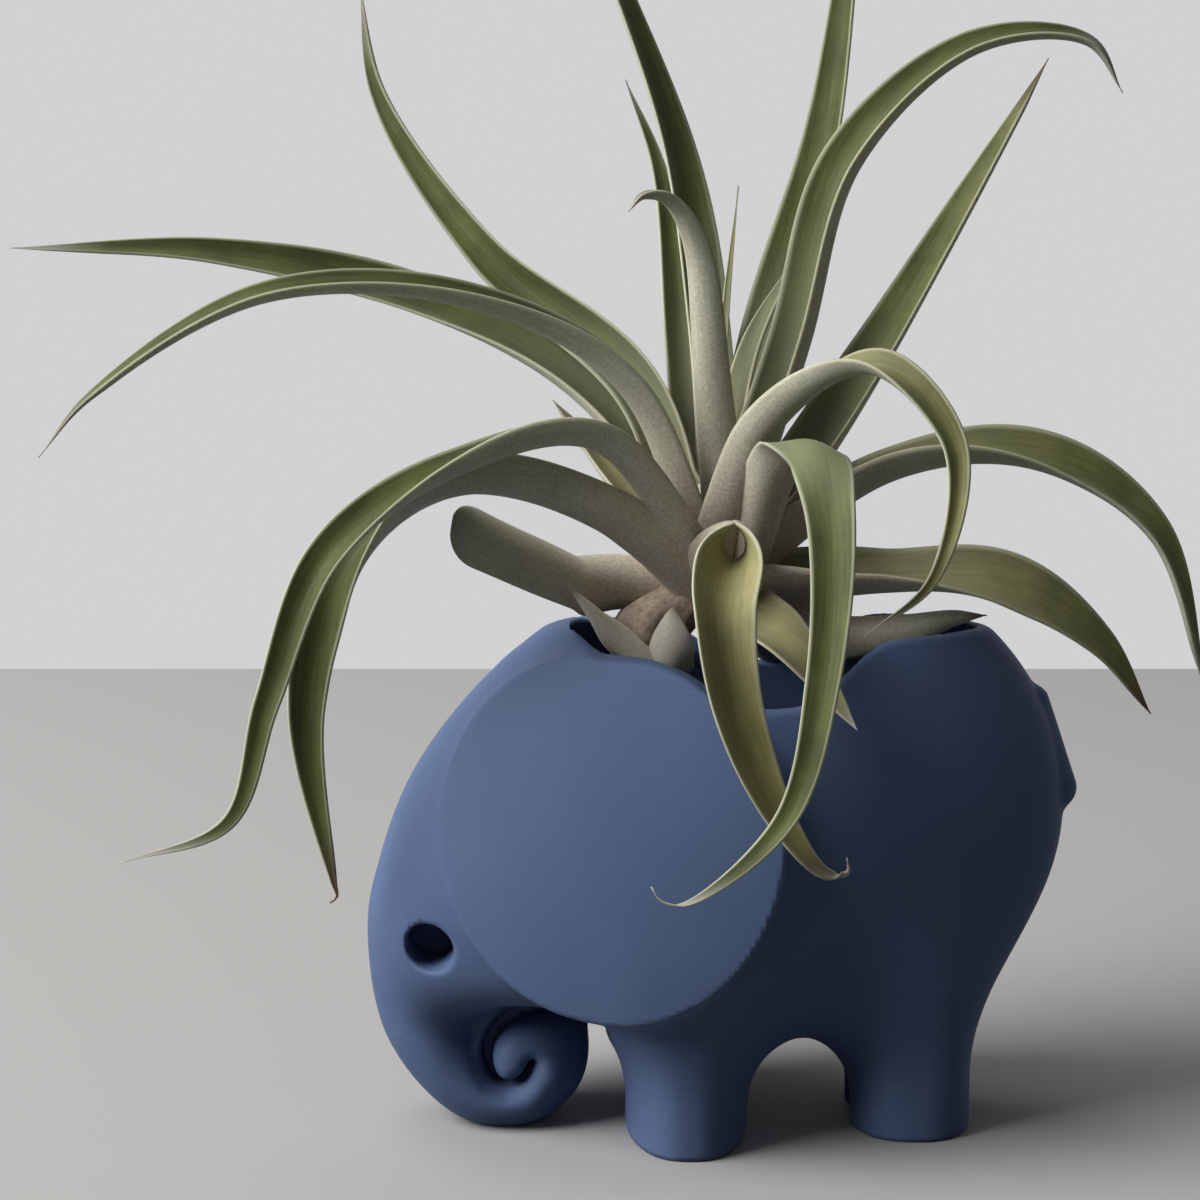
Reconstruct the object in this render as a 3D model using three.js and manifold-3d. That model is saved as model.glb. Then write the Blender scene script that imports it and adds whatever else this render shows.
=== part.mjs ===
// Elephant planter: a hollow, open-topped elephant in one piece, with an air plant standing in it.
// Millimetres, +Z up. The origin is on the ground under the middle of the opening.
// The elephant faces -X, and +Y is its right side.
import * as THREE from 'three';
import { mergeVertices } from 'three/addons/utils/BufferGeometryUtils.js';
import Module from 'manifold-3d';

// General
const CLEARANCE = 0.3;
const WALL = 3;
const SKIN_CELL = 3.7;
const CAVITY_CELL = 5;

// Rump: the large ellipsoid that makes the back half
const RUMP_X = 9.6;
const RUMP_Z = 46.6;
const RUMP_HALF_LENGTH = 41;
const RUMP_HALF_WIDTH = 27.5;
const RUMP_HALF_HEIGHT = 36.9;
const BELLY_Z = 11.8;
const BELLY_ROUNDING = 9;
// From here on the rump narrows toward the tail
const RUMP_TAPER_X = -5;
const RUMP_TAPER = 0.55;
const RUMP_TAPER_EASE = 0.4;

// Head: a tilted ellipsoid whose long axis leans back from the trunk to the crown of the head
const HEAD_X = -14.8;
const HEAD_Z = 39.6;
const HEAD_HALF_LENGTH = 35.7;
const HEAD_HALF_DEPTH = 29.4;
const HEAD_HALF_WIDTH = 25;
const HEAD_TILT = THREE.MathUtils.degToRad(44);
const CHIN_Z = 20;
const CHIN_ROUNDING = 6;
const NECK_BLEND = 10;

// Ears: oval discs cut from a larger tilted ellipsoid, proud of the body and turned a little to the front
const EAR_X = -14.6;
const EAR_Z = 46.1;
const EAR_HALF_LENGTH = 23.7;
const EAR_HALF_HEIGHT = 24.9;
const EAR_HALF_WIDTH = 31;
const EAR_FACE_X = 12;
const EAR_FACE_Z = 36;
const EAR_FACE_HALF_LENGTH = 80;
const EAR_FACE_HALF_DEPTH = 58;
const EAR_EDGE_ROUNDING = 1.6;
const EAR_BLEND = 1.6;

// Legs: an oval block for each pair, split into two feet by a slot along the middle
const FRONT_LEG_X = -3.5;
const FRONT_LEG_HALF_LENGTH = 8.9;
const FRONT_LEG_HALF_WIDTH = 22.5;
const REAR_LEG_X = 28.7;
const REAR_LEG_HALF_LENGTH = 8.9;
const REAR_LEG_HALF_WIDTH = 14;
const LEG_BLEND = 11;
const LEG_TOP_Z = 30;
const SOLE_DEPTH = 5;
const FOOT_SLOT_RADIUS = 3.6;
const FOOT_SLOT_Z = 7;

// Snout: the swell from the cheeks down to the trunk
const SNOUT_TOP = new THREE.Vector3(-26.5, 0, 38.5);
const SNOUT_TOP_RADIUS = 11.6;
const SNOUT_END = new THREE.Vector3(-37.1, 0, 26.9);
const SNOUT_END_RADIUS = 10.3;
const SNOUT_WIDENING = 1.12;
const SNOUT_BLEND = 9;

// Trunk: centreline [x, z, radius] from inside the snout, round to the curled knob at its tip
const TRUNK_ROUTE = [
  [-37, 25.5, 9.4], [-40.8, 18.3, 7.6], [-38.7, 10.5, 6.1], [-32.9, 4.7, 5.4], [-26.4, 4.5, 5],
  [-23.4, 8, 4.6],
];
const CURL = new THREE.Vector3(-27.3, 0, 9.4);
const CURL_RADIUS = 9.7;
const CURL_HALF_WIDTH = 10;
// Spiral groove [x, z] cut into both sides of the curl, down to a web in the middle
const CURL_GROOVE = [
  [-16.4, 15.6], [-20.5, 17.6], [-25, 17.2], [-29.4, 15.4], [-31.8, 12.4], [-32, 9.6], [-30.9, 7.4],
  [-29.2, 6.7], [-26.9, 7.8], [-25.6, 10],
];
const CURL_GROOVE_WIDTH = 1.4;
const CURL_WEB = 5;
const TRUNK_WIDENING = 1.2;
const TRUNK_LEAST_HALF_WIDTH = 10;
const TRUNK_RINGS = 18;
const TRUNK_SIDES = 14;

// Tail: a short drop lying on the rump
const TAIL_TOP_Z = 61;
const TAIL_TIP_Z = 48.5;
const TAIL_TOP_RADIUS = 2.2;
const TAIL_TIP_RADIUS = 3.2;
const TAIL_SINK = 1.2;

// Eyes: blind round holes
const EYE_X = -39.6;
const EYE_Z = 28.8;
const EYE_RADIUS = 3.4;
const EYE_BOTTOM_Y = 5;

// Pot: the cavity and its opening
const POT_FLOOR_Z = 32;
// Share of the rump's half-height at which the top is cut level
const RIM_SHARE = 0.688;
const RIM_Z = RUMP_Z + RIM_SHARE * RUMP_HALF_HEIGHT;
const LIP = 2.2;
const RIM_NARROWING = Math.sqrt(1 - RIM_SHARE ** 2);
const MOUTH_HALF_LENGTH = RUMP_HALF_LENGTH * RIM_NARROWING - LIP;
const MOUTH_HALF_WIDTH = RUMP_HALF_WIDTH * RIM_NARROWING - LIP;
const MOUTH_DEPTH = 7;
const MOUTH_ROUNDING = 3;
// The front end of the mouth is rounder and reaches further toward the head
const MOUTH_FRONT_RADIUS = 16.5;
const MOUTH_FRONT_X = RUMP_X - MOUTH_HALF_LENGTH + MOUTH_FRONT_RADIUS - 1.5;
// Saddle: a smooth dip in the rim on both sides, where leaves hang over
const SADDLE_X = 8;
const SADDLE_DEPTH = 8.5;
const SADDLE_HALF_LENGTH = 11;
const SADDLE_STEPS = 24;
// In front of the saddle the rim lies lower, from this place on
const SHELF_DEPTH = 1.8;
const SHELF_X = -20;
const SHELF_EASE = 5;

// Plant: up is measured from the rim
// Stem [x, y, up, radius]: it stands on the floor of the pot, leans over under the rim and swells into
// the crown
const STEM_RADIUS = 3.6;
const STEM_ROUTE = [
  [0, 0, POT_FLOOR_Z + CLEARANCE - RIM_Z, STEM_RADIUS], [0, 0, -22, STEM_RADIUS], [-6, -2, -12, 4.4],
  [-9.5, -3, -3.5, 5.2], [-7, -2.5, 2, 6.6], [-1, 0, 6, 6.6], [0.5, 0, 10, 4.6], [1, 0, 15, 2.3],
];
const STEM_SIDES = 14;
const LEAF_THICKNESS = 1.1;
const LEAF_TIP_HALF_WIDTH = 0.5;
const LEAF_CHANNEL = 0.5;
const LEAF_RING_SPACING = 7;
const LEAF_SPREAD = 0.25;
const LEAF_TAPER = 1.6;
const LEAF_BASE = 15;
// How far the leaves that hang over the side stand out: clear of the ear, one outside the other
const HANG = -(EAR_HALF_WIDTH + 6);
const HANG_OVER = HANG - 7.5;
// How far the leaves reach up, to the left and to the back
const LEAF_TOP = 122;
const LEAF_LEFT = -102;
const LEAF_BACK = 58;

// Each leaf: its width, the roll of its blade in degrees near the base and near the tip, and the middle
// line of the blade from base to tip
const LEAVES = {
  leaf_left_long: {
    width: 8, roll: [-30, -58],
    route: [[-2, 3, 4], [-16, 14, 29], [-43, 22, 45], [-72, 21, 52], [LEAF_LEFT, 16, 53]],
  },
  leaf_left_droop: {
    width: 7.4, roll: [-6, -20],
    route: [[-2, -1, 5], [-13, -6, 34], [-34, -13, 46], [-61, -20, 47], [-84, -23, 34], [-91, -23, 26]],
  },
  leaf_upper_left: {
    width: 7.4, roll: [-75, -92],
    route: [[-1, 4, 6], [-9, 13, 32], [-32, 26, 52], [-49, 35, 76], [-52, 36, 92]],
  },
  leaf_top_left: {
    width: 7.6, roll: [0, 10],
    route: [[0, 4, 8], [-1, 18, 40], [-5, 31, 67], [-17, 38, 101], [-25, 42, LEAF_TOP]],
  },
  leaf_top_back: { width: 6, roll: [0, 0], route: [[-2, 5, 8], [-4, 24, 38], [-7, 38, 64], [-12, 43, 78]] },
  leaf_curled: {
    width: 6.4, roll: [0, 0], taper: 2.6,
    route: [[0, -2, 8], [-2, -4, 37], [-4, -5, 55], [-7, -7, 60], [-10, -9, 60.5], [-12, -11, 58.5]],
  },
  leaf_thin: { width: 1.8, roll: [0, 0], route: [[1, 3, 10], [2, 8, 42], [4, 12, 62]] },
  leaf_top_right: {
    width: 9.2, roll: [-8, -14],
    route: [[2, 4, 8], [10, 20, 40], [18.5, 33, 69], [22.5, 38, 100], [25, 42, LEAF_TOP - 1]],
  },
  leaf_right_arch: {
    width: 8.6, roll: [22, 30], taper: 2.3,
    route: [[3, 1, 8], [13, 2, 40], [20, 4, 65], [37, 6, 81], [53, 7, 82], [58, 7, 75]],
  },
  leaf_right_inner: { width: 5.6, roll: [0, 0], route: [[2, 3, 9], [6, 10, 38], [14, 14, 54]] },
  leaf_upper_right: {
    width: 10.4, roll: [5, 5],
    route: [[3, 4, 4], [20, 17, 28], [37, 30, 55], [52, 38, 81]],
  },
  leaf_front_arch: {
    width: 7, roll: [-10, 50], taper: 1,
    route: [[1, -4, 6], [8, -12, 29], [21, -20, 37.5], [31, -27, 28], [28, -32, 11], [19, HANG + 6, 3]],
  },
  leaf_right_long: {
    width: 10.4, roll: [0, 38],
    route: [[3, 1, 4], [26, 5, 20.5], [47, 6, 22.5], [63, 4, 13], [71, 0, -10]],
  },
  leaf_right_low: {
    width: 10.5, roll: [12, 60],
    route: [[4, -2, 3], [24, -5, 6], [41, -6, 6.2], [54, -6, -1.5], [62, -5, -12]],
  },
  leaf_rear_rim: {
    width: 8.4, roll: [-132, -132],
    route: [[3, 0, 2], [15, -5, 0.2], [27, -6, 0.8], [34, -4, 1.8], [39, -1.5, 1.6]],
  },
  leaf_left_arch: {
    width: 7.6, roll: [8, -65], taper: 1.15,
    route: [[-2, -4, 5], [-17, -17, 27], [-35, -23, 24], [-52, -28, 13], [-60, -29, -6], [-66, -27, -23],
      [-81, -25, -29]],
  },
  leaf_left_second: {
    width: 8.2, roll: [35, -70], taper: 1.9,
    route: [[-3, -4, 3], [-16, -13, 16], [-34, -17, 21], [-50, -18, 11], [-56, -16, -9], [-53, -14, -34],
      [-53.2, -14, -37]],
  },
  leaf_left_blunt: {
    width: 9.4, roll: [-55, -62], blunt: 4.2,
    route: [[-5, 0, 1.5], [-15.3, -3, 6], [-24.3, -9, 10.4], [-36, -16, 16.5]],
  },
  leaf_front_left: {
    width: 9.8, roll: [0, 0],
    route: [[1, -4, 3], [2.4, -20, 11.5], [-0.6, HANG + 3, 6], [1.4, HANG - 2, -7], [8, HANG - 3, -21],
      [13.5, HANG - 3, -27], [16.6, HANG - 2, -26.4]],
  },
  leaf_front_right: {
    width: 7.6, roll: [0, 0],
    route: [[3, -3, 4], [7.5, -13, 22.5], [12, -24, 28], [14.4, HANG + 2, 18], [13, HANG_OVER + 2, -1],
      [8, HANG_OVER, -19], [-5, HANG_OVER, -30], [-8.8, HANG_OVER, -29]],
  },
  leaf_front_rim: { width: 9.4, roll: [15, 15], route: [[2, -3, 2], [10, -25, 0], [18, HANG + 3, -9]] },
  leaf_back_left: { width: 7.6, roll: [0, 0], route: [[-3, 3, 6], [-14, 18, 19], [-23, 28, 30]] },
  leaf_far_left: {
    width: 7.2, roll: [0, 0],
    route: [[-3, 4, 3], [-6, 22, 8], [-8, 40, -2], [-8, LEAF_BACK - 6, -18]],
  },
  leaf_far_middle: {
    width: 7.6, roll: [0, 0],
    route: [[1, 4, 4], [4, 24, 14], [6, 44, 4], [7, LEAF_BACK, -14]],
  },
  leaf_far_right: {
    width: 7.2, roll: [0, 0],
    route: [[3, 4, 3], [9, 19, -6.4], [14, 34, -11], [18, LEAF_BACK - 11, -22]],
  },
  sheath_left: {
    width: 4.8, roll: [120, 120],
    route: [[-8, -7.2, -9], [-10.8, -9.2, -4], [-14.8, -10, 1.2], [-20.3, -10.8, 7]],
  },
  sheath_front: {
    width: 6.8, roll: [-40, -40], taper: 3,
    route: [[-6.5, -6, -9], [-6.2, -10.5, -3], [-5.8, -13, 4.5]],
  },
};

// Colours
const SLATE_BLUE = { color: 0x56698a, roughness: 0.72, metalness: 0 };
const LEAF_GREEN = { color: 0x6f7650, roughness: 0.65, metalness: 0 };
const SHEATH_TAN = { color: 0xb3aa8c, roughness: 0.8, metalness: 0 };
const STEM_BROWN = { color: 0x6e5c47, roughness: 0.9, metalness: 0 };

const wasm = await Module();
wasm.setup();

// Solids and geometries

function toSolid(geometry) {
  const bare = geometry.index ? geometry.clone() : geometry;
  bare.deleteAttribute('normal');
  bare.deleteAttribute('uv');
  const merged = mergeVertices(bare, 1e-4);
  return new wasm.Manifold(new wasm.Mesh({
    numProp: 3,
    vertProperties: new Float32Array(merged.attributes.position.array),
    triVerts: new Uint32Array(merged.index.array),
  }));
}

function toGeometry(solid) {
  const mesh = solid.getMesh();
  const geometry = new THREE.BufferGeometry();
  geometry.setAttribute('position', new THREE.BufferAttribute(new Float32Array(mesh.vertProperties), 3));
  geometry.setIndex(new THREE.BufferAttribute(new Uint32Array(mesh.triVerts), 1));
  geometry.computeVertexNormals();
  return geometry;
}

function largestPiece(solid) {
  return solid.decompose().reduce((best, piece) => (piece.volume() > best.volume() ? piece : best));
}

// Box from one corner to the opposite one
function block(low, high) {
  const size = high.clone().sub(low);
  const centre = low.clone().add(high).multiplyScalar(0.5);
  return toSolid(new THREE.BoxGeometry(size.x, size.y, size.z).translate(centre.x, centre.y, centre.z));
}

// Closed skin over rings of points, each ring counter-clockwise seen from its far end
function ringSkin(rings) {
  const sides = rings[0].length;
  const points = rings.flat();
  const faces = [];
  for (let ring = 0; ring + 1 < rings.length; ring += 1) {
    for (let side = 0; side < sides; side += 1) {
      const a = ring * sides + side;
      const b = ring * sides + (side + 1) % sides;
      faces.push(a, b, b + sides, a, b + sides, a + sides);
    }
  }
  const cap = (ring, flip) => {
    const outline = rings[ring];
    const [origin] = outline;
    const across = outline[1].clone().sub(origin).normalize();
    const facing = new THREE.Vector3();
    outline.forEach((point, i) => facing.add(point.clone().cross(outline[(i + 1) % sides])));
    const upward = facing.normalize().cross(across);
    const flat = outline.map((point) => {
      const offset = point.clone().sub(origin);
      return new THREE.Vector2(offset.dot(across), offset.dot(upward));
    });
    const first = ring * sides;
    THREE.ShapeUtils.triangulateShape(flat, []).forEach(([a, b, c]) => {
      faces.push(first + a, first + (flip ? c : b), first + (flip ? b : c));
    });
  };
  cap(0, true);
  cap(rings.length - 1, false);
  const geometry = new THREE.BufferGeometry().setFromPoints(points);
  geometry.setIndex(faces);
  return geometry;
}

// Distance fields: negative inside a shape, zero on its skin, about the distance outside

function smoothMin(a, b, blend) {
  const h = Math.max(blend - Math.abs(a - b), 0) / blend;
  return Math.min(a, b) - h * h * blend / 4;
}

function smoothMax(a, b, blend) {
  return -smoothMin(-a, -b, blend);
}

// Oval of power n in two or three directions: offsets from its centre, and its half-sizes
function oval(offsets, halves, n) {
  const shares = offsets.map((offset, i) => Math.abs(offset) / halves[i]);
  const gauge = Math.max(shares.reduce((sum, share) => sum + share ** n, 0) ** (1 / n), 1e-6);
  const slope = Math.hypot(...shares.map((share, i) => share ** (n - 1) / halves[i]));
  return (gauge - 1) / (gauge ** (1 - n) * Math.max(slope, 1e-9));
}

// How much narrower the rump is than its egg: 1 in front, growing smoothly toward the tail
function narrowing(x) {
  const share = Math.max(x - RUMP_TAPER_X, 0) / RUMP_HALF_LENGTH;
  return 1 + RUMP_TAPER * share ** 2 / (share + RUMP_TAPER_EASE);
}

function rump(x, y, z) {
  const offsets = [x - RUMP_X, y * narrowing(x), z - RUMP_Z];
  const egg = oval(offsets, [RUMP_HALF_LENGTH, RUMP_HALF_WIDTH, RUMP_HALF_HEIGHT], 2);
  return smoothMax(egg, BELLY_Z - z, BELLY_ROUNDING);
}

// Ellipsoid whose long axis leans back by the head's tilt; half-sizes along it, across it and outward
function tiltedOval(x, y, z, halves) {
  const along = x * Math.sin(HEAD_TILT) + z * Math.cos(HEAD_TILT);
  const outward = z * Math.sin(HEAD_TILT) - x * Math.cos(HEAD_TILT);
  return oval([along, y, outward], halves, 2);
}

function head(x, y, z) {
  const egg = tiltedOval(x - HEAD_X, y, z - HEAD_Z, [HEAD_HALF_LENGTH, HEAD_HALF_WIDTH, HEAD_HALF_DEPTH]);
  return smoothMax(egg, CHIN_Z - z, CHIN_ROUNDING);
}

function ear(x, y, z) {
  const outline = oval([x - EAR_X, z - EAR_Z], [EAR_HALF_LENGTH, EAR_HALF_HEIGHT], 2);
  const halves = [EAR_FACE_HALF_LENGTH, EAR_HALF_WIDTH, EAR_FACE_HALF_DEPTH];
  const face = tiltedOval(x - EAR_FACE_X, y, z - EAR_FACE_Z, halves);
  return smoothMax(outline, face, EAR_EDGE_ROUNDING);
}

function torso(x, y, z) {
  return smoothMin(smoothMin(rump(x, y, z), head(x, y, z), NECK_BLEND), ear(x, y, z), EAR_BLEND);
}

function legs(x, y, z) {
  const front = oval([x - FRONT_LEG_X, y], [FRONT_LEG_HALF_LENGTH, FRONT_LEG_HALF_WIDTH], 2.5);
  const rear = oval([x - REAR_LEG_X, y], [REAR_LEG_HALF_LENGTH, REAR_LEG_HALF_WIDTH], 2.5);
  return Math.max(Math.min(front, rear), z - LEG_TOP_Z, -SOLE_DEPTH - z);
}

// Round-ended bar between two points, with a radius at each end
function bar(point, start, end, startRadius, endRadius) {
  const axis = end.clone().sub(start);
  const offset = point.clone().sub(start);
  const share = THREE.MathUtils.clamp(offset.dot(axis) / axis.lengthSq(), 0, 1);
  const radius = THREE.MathUtils.lerp(startRadius, endRadius, share);
  return offset.addScaledVector(axis, -share).length() - radius;
}

function rumpRearX(z) {
  return RUMP_X + RUMP_HALF_LENGTH * Math.sqrt(1 - ((z - RUMP_Z) / RUMP_HALF_HEIGHT) ** 2);
}

const TAIL_TOP = new THREE.Vector3(rumpRearX(TAIL_TOP_Z) - TAIL_SINK, 0, TAIL_TOP_Z);
const TAIL_TIP = new THREE.Vector3(rumpRearX(TAIL_TIP_Z) - TAIL_SINK, 0, TAIL_TIP_Z);

function outside(x, y, z) {
  const slot = Math.hypot(y, Math.max(z - FOOT_SLOT_Z, 0)) - FOOT_SLOT_RADIUS;
  const nose = new THREE.Vector3(x, y / SNOUT_WIDENING, z);
  const snout = bar(nose, SNOUT_TOP, SNOUT_END, SNOUT_TOP_RADIUS, SNOUT_END_RADIUS);
  const body = smoothMin(torso(x, y, z), snout, SNOUT_BLEND);
  const standing = smoothMax(smoothMin(body, legs(x, y, z), LEG_BLEND), -slot, 2);
  const tail = bar(new THREE.Vector3(x, y, z), TAIL_TOP, TAIL_TIP, TAIL_TOP_RADIUS, TAIL_TIP_RADIUS);
  return smoothMin(standing, tail, 1.5);
}

// The pot follows the outside at the wall thickness, and narrows to a straight mouth at the top
function pot(x, y, z) {
  const inner = torso(x, y, Math.min(z, RIM_Z - MOUTH_DEPTH)) + WALL;
  const rear = oval([x - RUMP_X, y * narrowing(x)], [MOUTH_HALF_LENGTH, MOUTH_HALF_WIDTH], 2);
  const front = Math.hypot(x - MOUTH_FRONT_X, y) - MOUTH_FRONT_RADIUS;
  const mouth = smoothMin(rear, front, MOUTH_ROUNDING);
  const flare = Math.max(RIM_Z - z, 0);
  return Math.max(smoothMax(inner, mouth - flare, MOUTH_ROUNDING), z - RIM_Z - CAVITY_CELL);
}

// Skin of a distance field: one point in each grid cell that the skin crosses, pulled onto the
// skin, and one face across each grid edge that it crosses
function skin(field, low, high, cell) {
  const counts = high.clone().sub(low).divideScalar(cell).ceil().addScalar(1);
  const [nx, ny, nz] = counts.toArray();
  const at = (i, j, k) => i + nx * (j + ny * k);
  const values = new Float64Array(nx * ny * nz);
  for (let k = 0; k < nz; k += 1) {
    for (let j = 0; j < ny; j += 1) {
      for (let i = 0; i < nx; i += 1) {
        values[at(i, j, k)] = field(low.x + i * cell, low.y + j * cell, low.z + k * cell);
      }
    }
  }
  const corners = [0, 1, 2, 3, 4, 5, 6, 7].map((bits) => [bits & 1, (bits >> 1) & 1, bits >> 2]);
  const edges = corners.flatMap((a, m) => corners.map((b, n) => [m, n])
    .filter(([, n]) => n > m && corners[n].reduce((sum, c, axis) => sum + Math.abs(c - a[axis]), 0) === 1));
  const points = [];
  const pointOf = new Map();
  const pull = (point) => {
    const step = cell / 100;
    const here = field(...point.toArray());
    const slope = new THREE.Vector3(
      field(point.x + step, point.y, point.z) - here,
      field(point.x, point.y + step, point.z) - here,
      field(point.x, point.y, point.z + step) - here,
    ).divideScalar(step);
    const move = THREE.MathUtils.clamp(here / slope.length(), -cell / 2, cell / 2);
    point.addScaledVector(slope.normalize(), -move);
  };
  for (let k = 0; k + 1 < nz; k += 1) {
    for (let j = 0; j + 1 < ny; j += 1) {
      for (let i = 0; i + 1 < nx; i += 1) {
        const v = corners.map(([a, b, c]) => values[at(i + a, j + b, k + c)]);
        const crossed = edges.filter(([m, n]) => (v[m] < 0) !== (v[n] < 0));
        if (crossed.length > 0) {
          const middle = new THREE.Vector3();
          crossed.forEach(([m, n]) => {
            const share = v[m] / (v[m] - v[n]);
            middle.add(new THREE.Vector3(...corners[m]).lerp(new THREE.Vector3(...corners[n]), share));
          });
          middle.divideScalar(crossed.length).add(new THREE.Vector3(i, j, k)).multiplyScalar(cell).add(low);
          pull(middle);
          pull(middle);
          pointOf.set(at(i, j, k), points.length);
          points.push(middle);
        }
      }
    }
  }
  const steps = [1, nx, nx * ny];
  const faces = [];
  const quad = (cells, flip) => {
    const [a, b, c, d] = cells.map((index) => pointOf.get(index));
    const ring = flip ? [a, d, c, b] : [a, b, c, d];
    const first = points[ring[0]].distanceTo(points[ring[2]]);
    const second = points[ring[1]].distanceTo(points[ring[3]]);
    const [p, q, r, s] = first <= second ? ring : [ring[1], ring[2], ring[3], ring[0]];
    faces.push(p, q, r, p, r, s);
  };
  for (let k = 1; k + 1 < nz; k += 1) {
    for (let j = 1; j + 1 < ny; j += 1) {
      for (let i = 1; i + 1 < nx; i += 1) {
        const here = at(i, j, k);
        steps.forEach((step, axis) => {
          const inside = values[here] < 0;
          if (inside !== (values[here + step] < 0)) {
            const [u, v] = [steps[(axis + 1) % 3], steps[(axis + 2) % 3]];
            quad([here - u - v, here - v, here, here - u], !inside);
          }
        });
      }
    }
  }
  const geometry = new THREE.BufferGeometry().setFromPoints(points);
  geometry.setIndex(faces);
  return geometry;
}

// Planter

// Trunk: rings of an oval section along its centreline, ending inside the curled knob
function trunkSolid() {
  const line = new THREE.CatmullRomCurve3(TRUNK_ROUTE.map(([x, z]) => new THREE.Vector3(x, 0, z)));
  const girth = new THREE.CatmullRomCurve3(TRUNK_ROUTE.map(([, , r]) => new THREE.Vector3(r, 0, 0)));
  const rings = [];
  for (let ring = 0; ring <= TRUNK_RINGS; ring += 1) {
    const t = ring / TRUNK_RINGS;
    const radius = girth.getPoint(t).x;
    const halfWidth = Math.max(TRUNK_WIDENING * radius, TRUNK_LEAST_HALF_WIDTH);
    const tangent = line.getTangent(t);
    const normal = new THREE.Vector3(0, 1, 0).cross(tangent);
    const points = [];
    for (let side = 0; side < TRUNK_SIDES; side += 1) {
      const angle = 2 * Math.PI * side / TRUNK_SIDES;
      points.push(line.getPoint(t).addScaledVector(normal, radius * Math.cos(angle))
        .add(new THREE.Vector3(0, halfWidth * Math.sin(angle), 0)));
    }
    rings.push(points);
  }
  const knob = new THREE.SphereGeometry(CURL_RADIUS, 20, 14)
    .scale(1, CURL_HALF_WIDTH / CURL_RADIUS, 1).translate(CURL.x, CURL.y, CURL.z);
  return toSolid(ringSkin(rings)).add(toSolid(knob));
}

// Spiral groove as a ribbon in the X-Z plane, reaching along Y from low to high
function grooveSolid(low, high) {
  const line = new THREE.SplineCurve(CURL_GROOVE.map(([x, z]) => new THREE.Vector2(x, z)));
  const places = [...Array(2 * CURL_GROOVE.length).keys()].map((k) => k / (2 * CURL_GROOVE.length - 1));
  const edge = (t, offset) => {
    const { x, y } = line.getTangent(t);
    return line.getPoint(t).add(new THREE.Vector2(-y, x).multiplyScalar(offset));
  };
  const ribbon = new THREE.Shape([
    ...places.map((t) => edge(t, -CURL_GROOVE_WIDTH / 2)),
    ...places.reverse().map((t) => edge(t, CURL_GROOVE_WIDTH / 2)),
  ]);
  const bar = new THREE.ExtrudeGeometry(ribbon, { depth: high - low, bevelEnabled: false });
  return toSolid(bar.rotateX(Math.PI / 2).translate(0, high, 0));
}

function crossBar(radius, low, high) {
  return new THREE.CylinderGeometry(radius, radius, high - low, 32).translate(0, (low + high) / 2, 0);
}

// Everything above the rim: its lower face is level but for the saddle's dip and the shelf in front of it
function aboveRim(from, to, side, top) {
  const start = Math.min(SHELF_X, SADDLE_X - 2 * SADDLE_HALF_LENGTH);
  const end = SADDLE_X + 2 * SADDLE_HALF_LENGTH;
  const ridge = [...Array(SADDLE_STEPS + 1).keys()].map((k) => {
    const x = THREE.MathUtils.lerp(start, end, k / SADDLE_STEPS);
    const saddle = Math.exp(-(Math.abs((x - SADDLE_X) / SADDLE_HALF_LENGTH) ** 3));
    const shelf = x < SADDLE_X ? THREE.MathUtils.smoothstep(x, SHELF_X, SHELF_X + SHELF_EASE) : 0;
    return new THREE.Vector2(x, RIM_Z - SADDLE_DEPTH * saddle - SHELF_DEPTH * shelf * (1 - saddle));
  });
  const outline = new THREE.Shape([
    new THREE.Vector2(from, RIM_Z), ...ridge, new THREE.Vector2(to, RIM_Z),
    new THREE.Vector2(to, top), new THREE.Vector2(from, top),
  ]);
  const slab = new THREE.ExtrudeGeometry(outline, { depth: 2 * side, bevelEnabled: false });
  return toSolid(slab.rotateX(Math.PI / 2).translate(0, side, 0));
}

function planterGeometry() {
  const margin = 2 * CAVITY_CELL;
  const reach = RUMP_X + RUMP_HALF_LENGTH + margin;
  const front = Math.min(HEAD_X - HEAD_HALF_LENGTH, SNOUT_END.x - SNOUT_END_RADIUS) - margin;
  const side = Math.max(RUMP_HALF_WIDTH, EAR_HALF_WIDTH) + margin;
  const top = RUMP_Z + RUMP_HALF_HEIGHT + margin;
  const low = new THREE.Vector3(front, -side, -SOLE_DEPTH - margin);
  const high = new THREE.Vector3(reach, side, top);
  const body = toSolid(skin(outside, low, high, SKIN_CELL)).add(trunkSolid());
  const ground = block(low.clone().setZ(low.z - SKIN_CELL), high.clone().setZ(0));
  const hollow = toSolid(skin(pot, low, high, CAVITY_CELL))
    .subtract(block(low, high.clone().setZ(POT_FLOOR_Z)));
  const above = aboveRim(low.x, high.x, side, high.z + margin);
  let shell = body.subtract(ground).subtract(hollow).subtract(above);
  [[-side, -EYE_BOTTOM_Y], [EYE_BOTTOM_Y, side]].forEach(([from, to]) => {
    shell = shell.subtract(toSolid(crossBar(EYE_RADIUS, from, to).translate(EYE_X, 0, EYE_Z)));
  });
  [[-side, -CURL_WEB / 2], [CURL_WEB / 2, side]].forEach(([from, to]) => {
    shell = shell.subtract(grooveSolid(from, to));
  });
  return toGeometry(largestPiece(shell));
}

// Plant

// Stem: level round sections along its route
function stemGeometry(grow) {
  const last = STEM_ROUTE.length - 1;
  return ringSkin(STEM_ROUTE.map(([x, y, up, radius], ring) => [...Array(STEM_SIDES).keys()].map((side) => {
    const angle = 2 * Math.PI * side / STEM_SIDES;
    const end = (ring === last ? grow : 0) - (ring === 0 ? grow : 0);
    const reach = radius + grow;
    return new THREE.Vector3(x + reach * Math.cos(angle), y + reach * Math.sin(angle), up + end);
  })));
}

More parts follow.
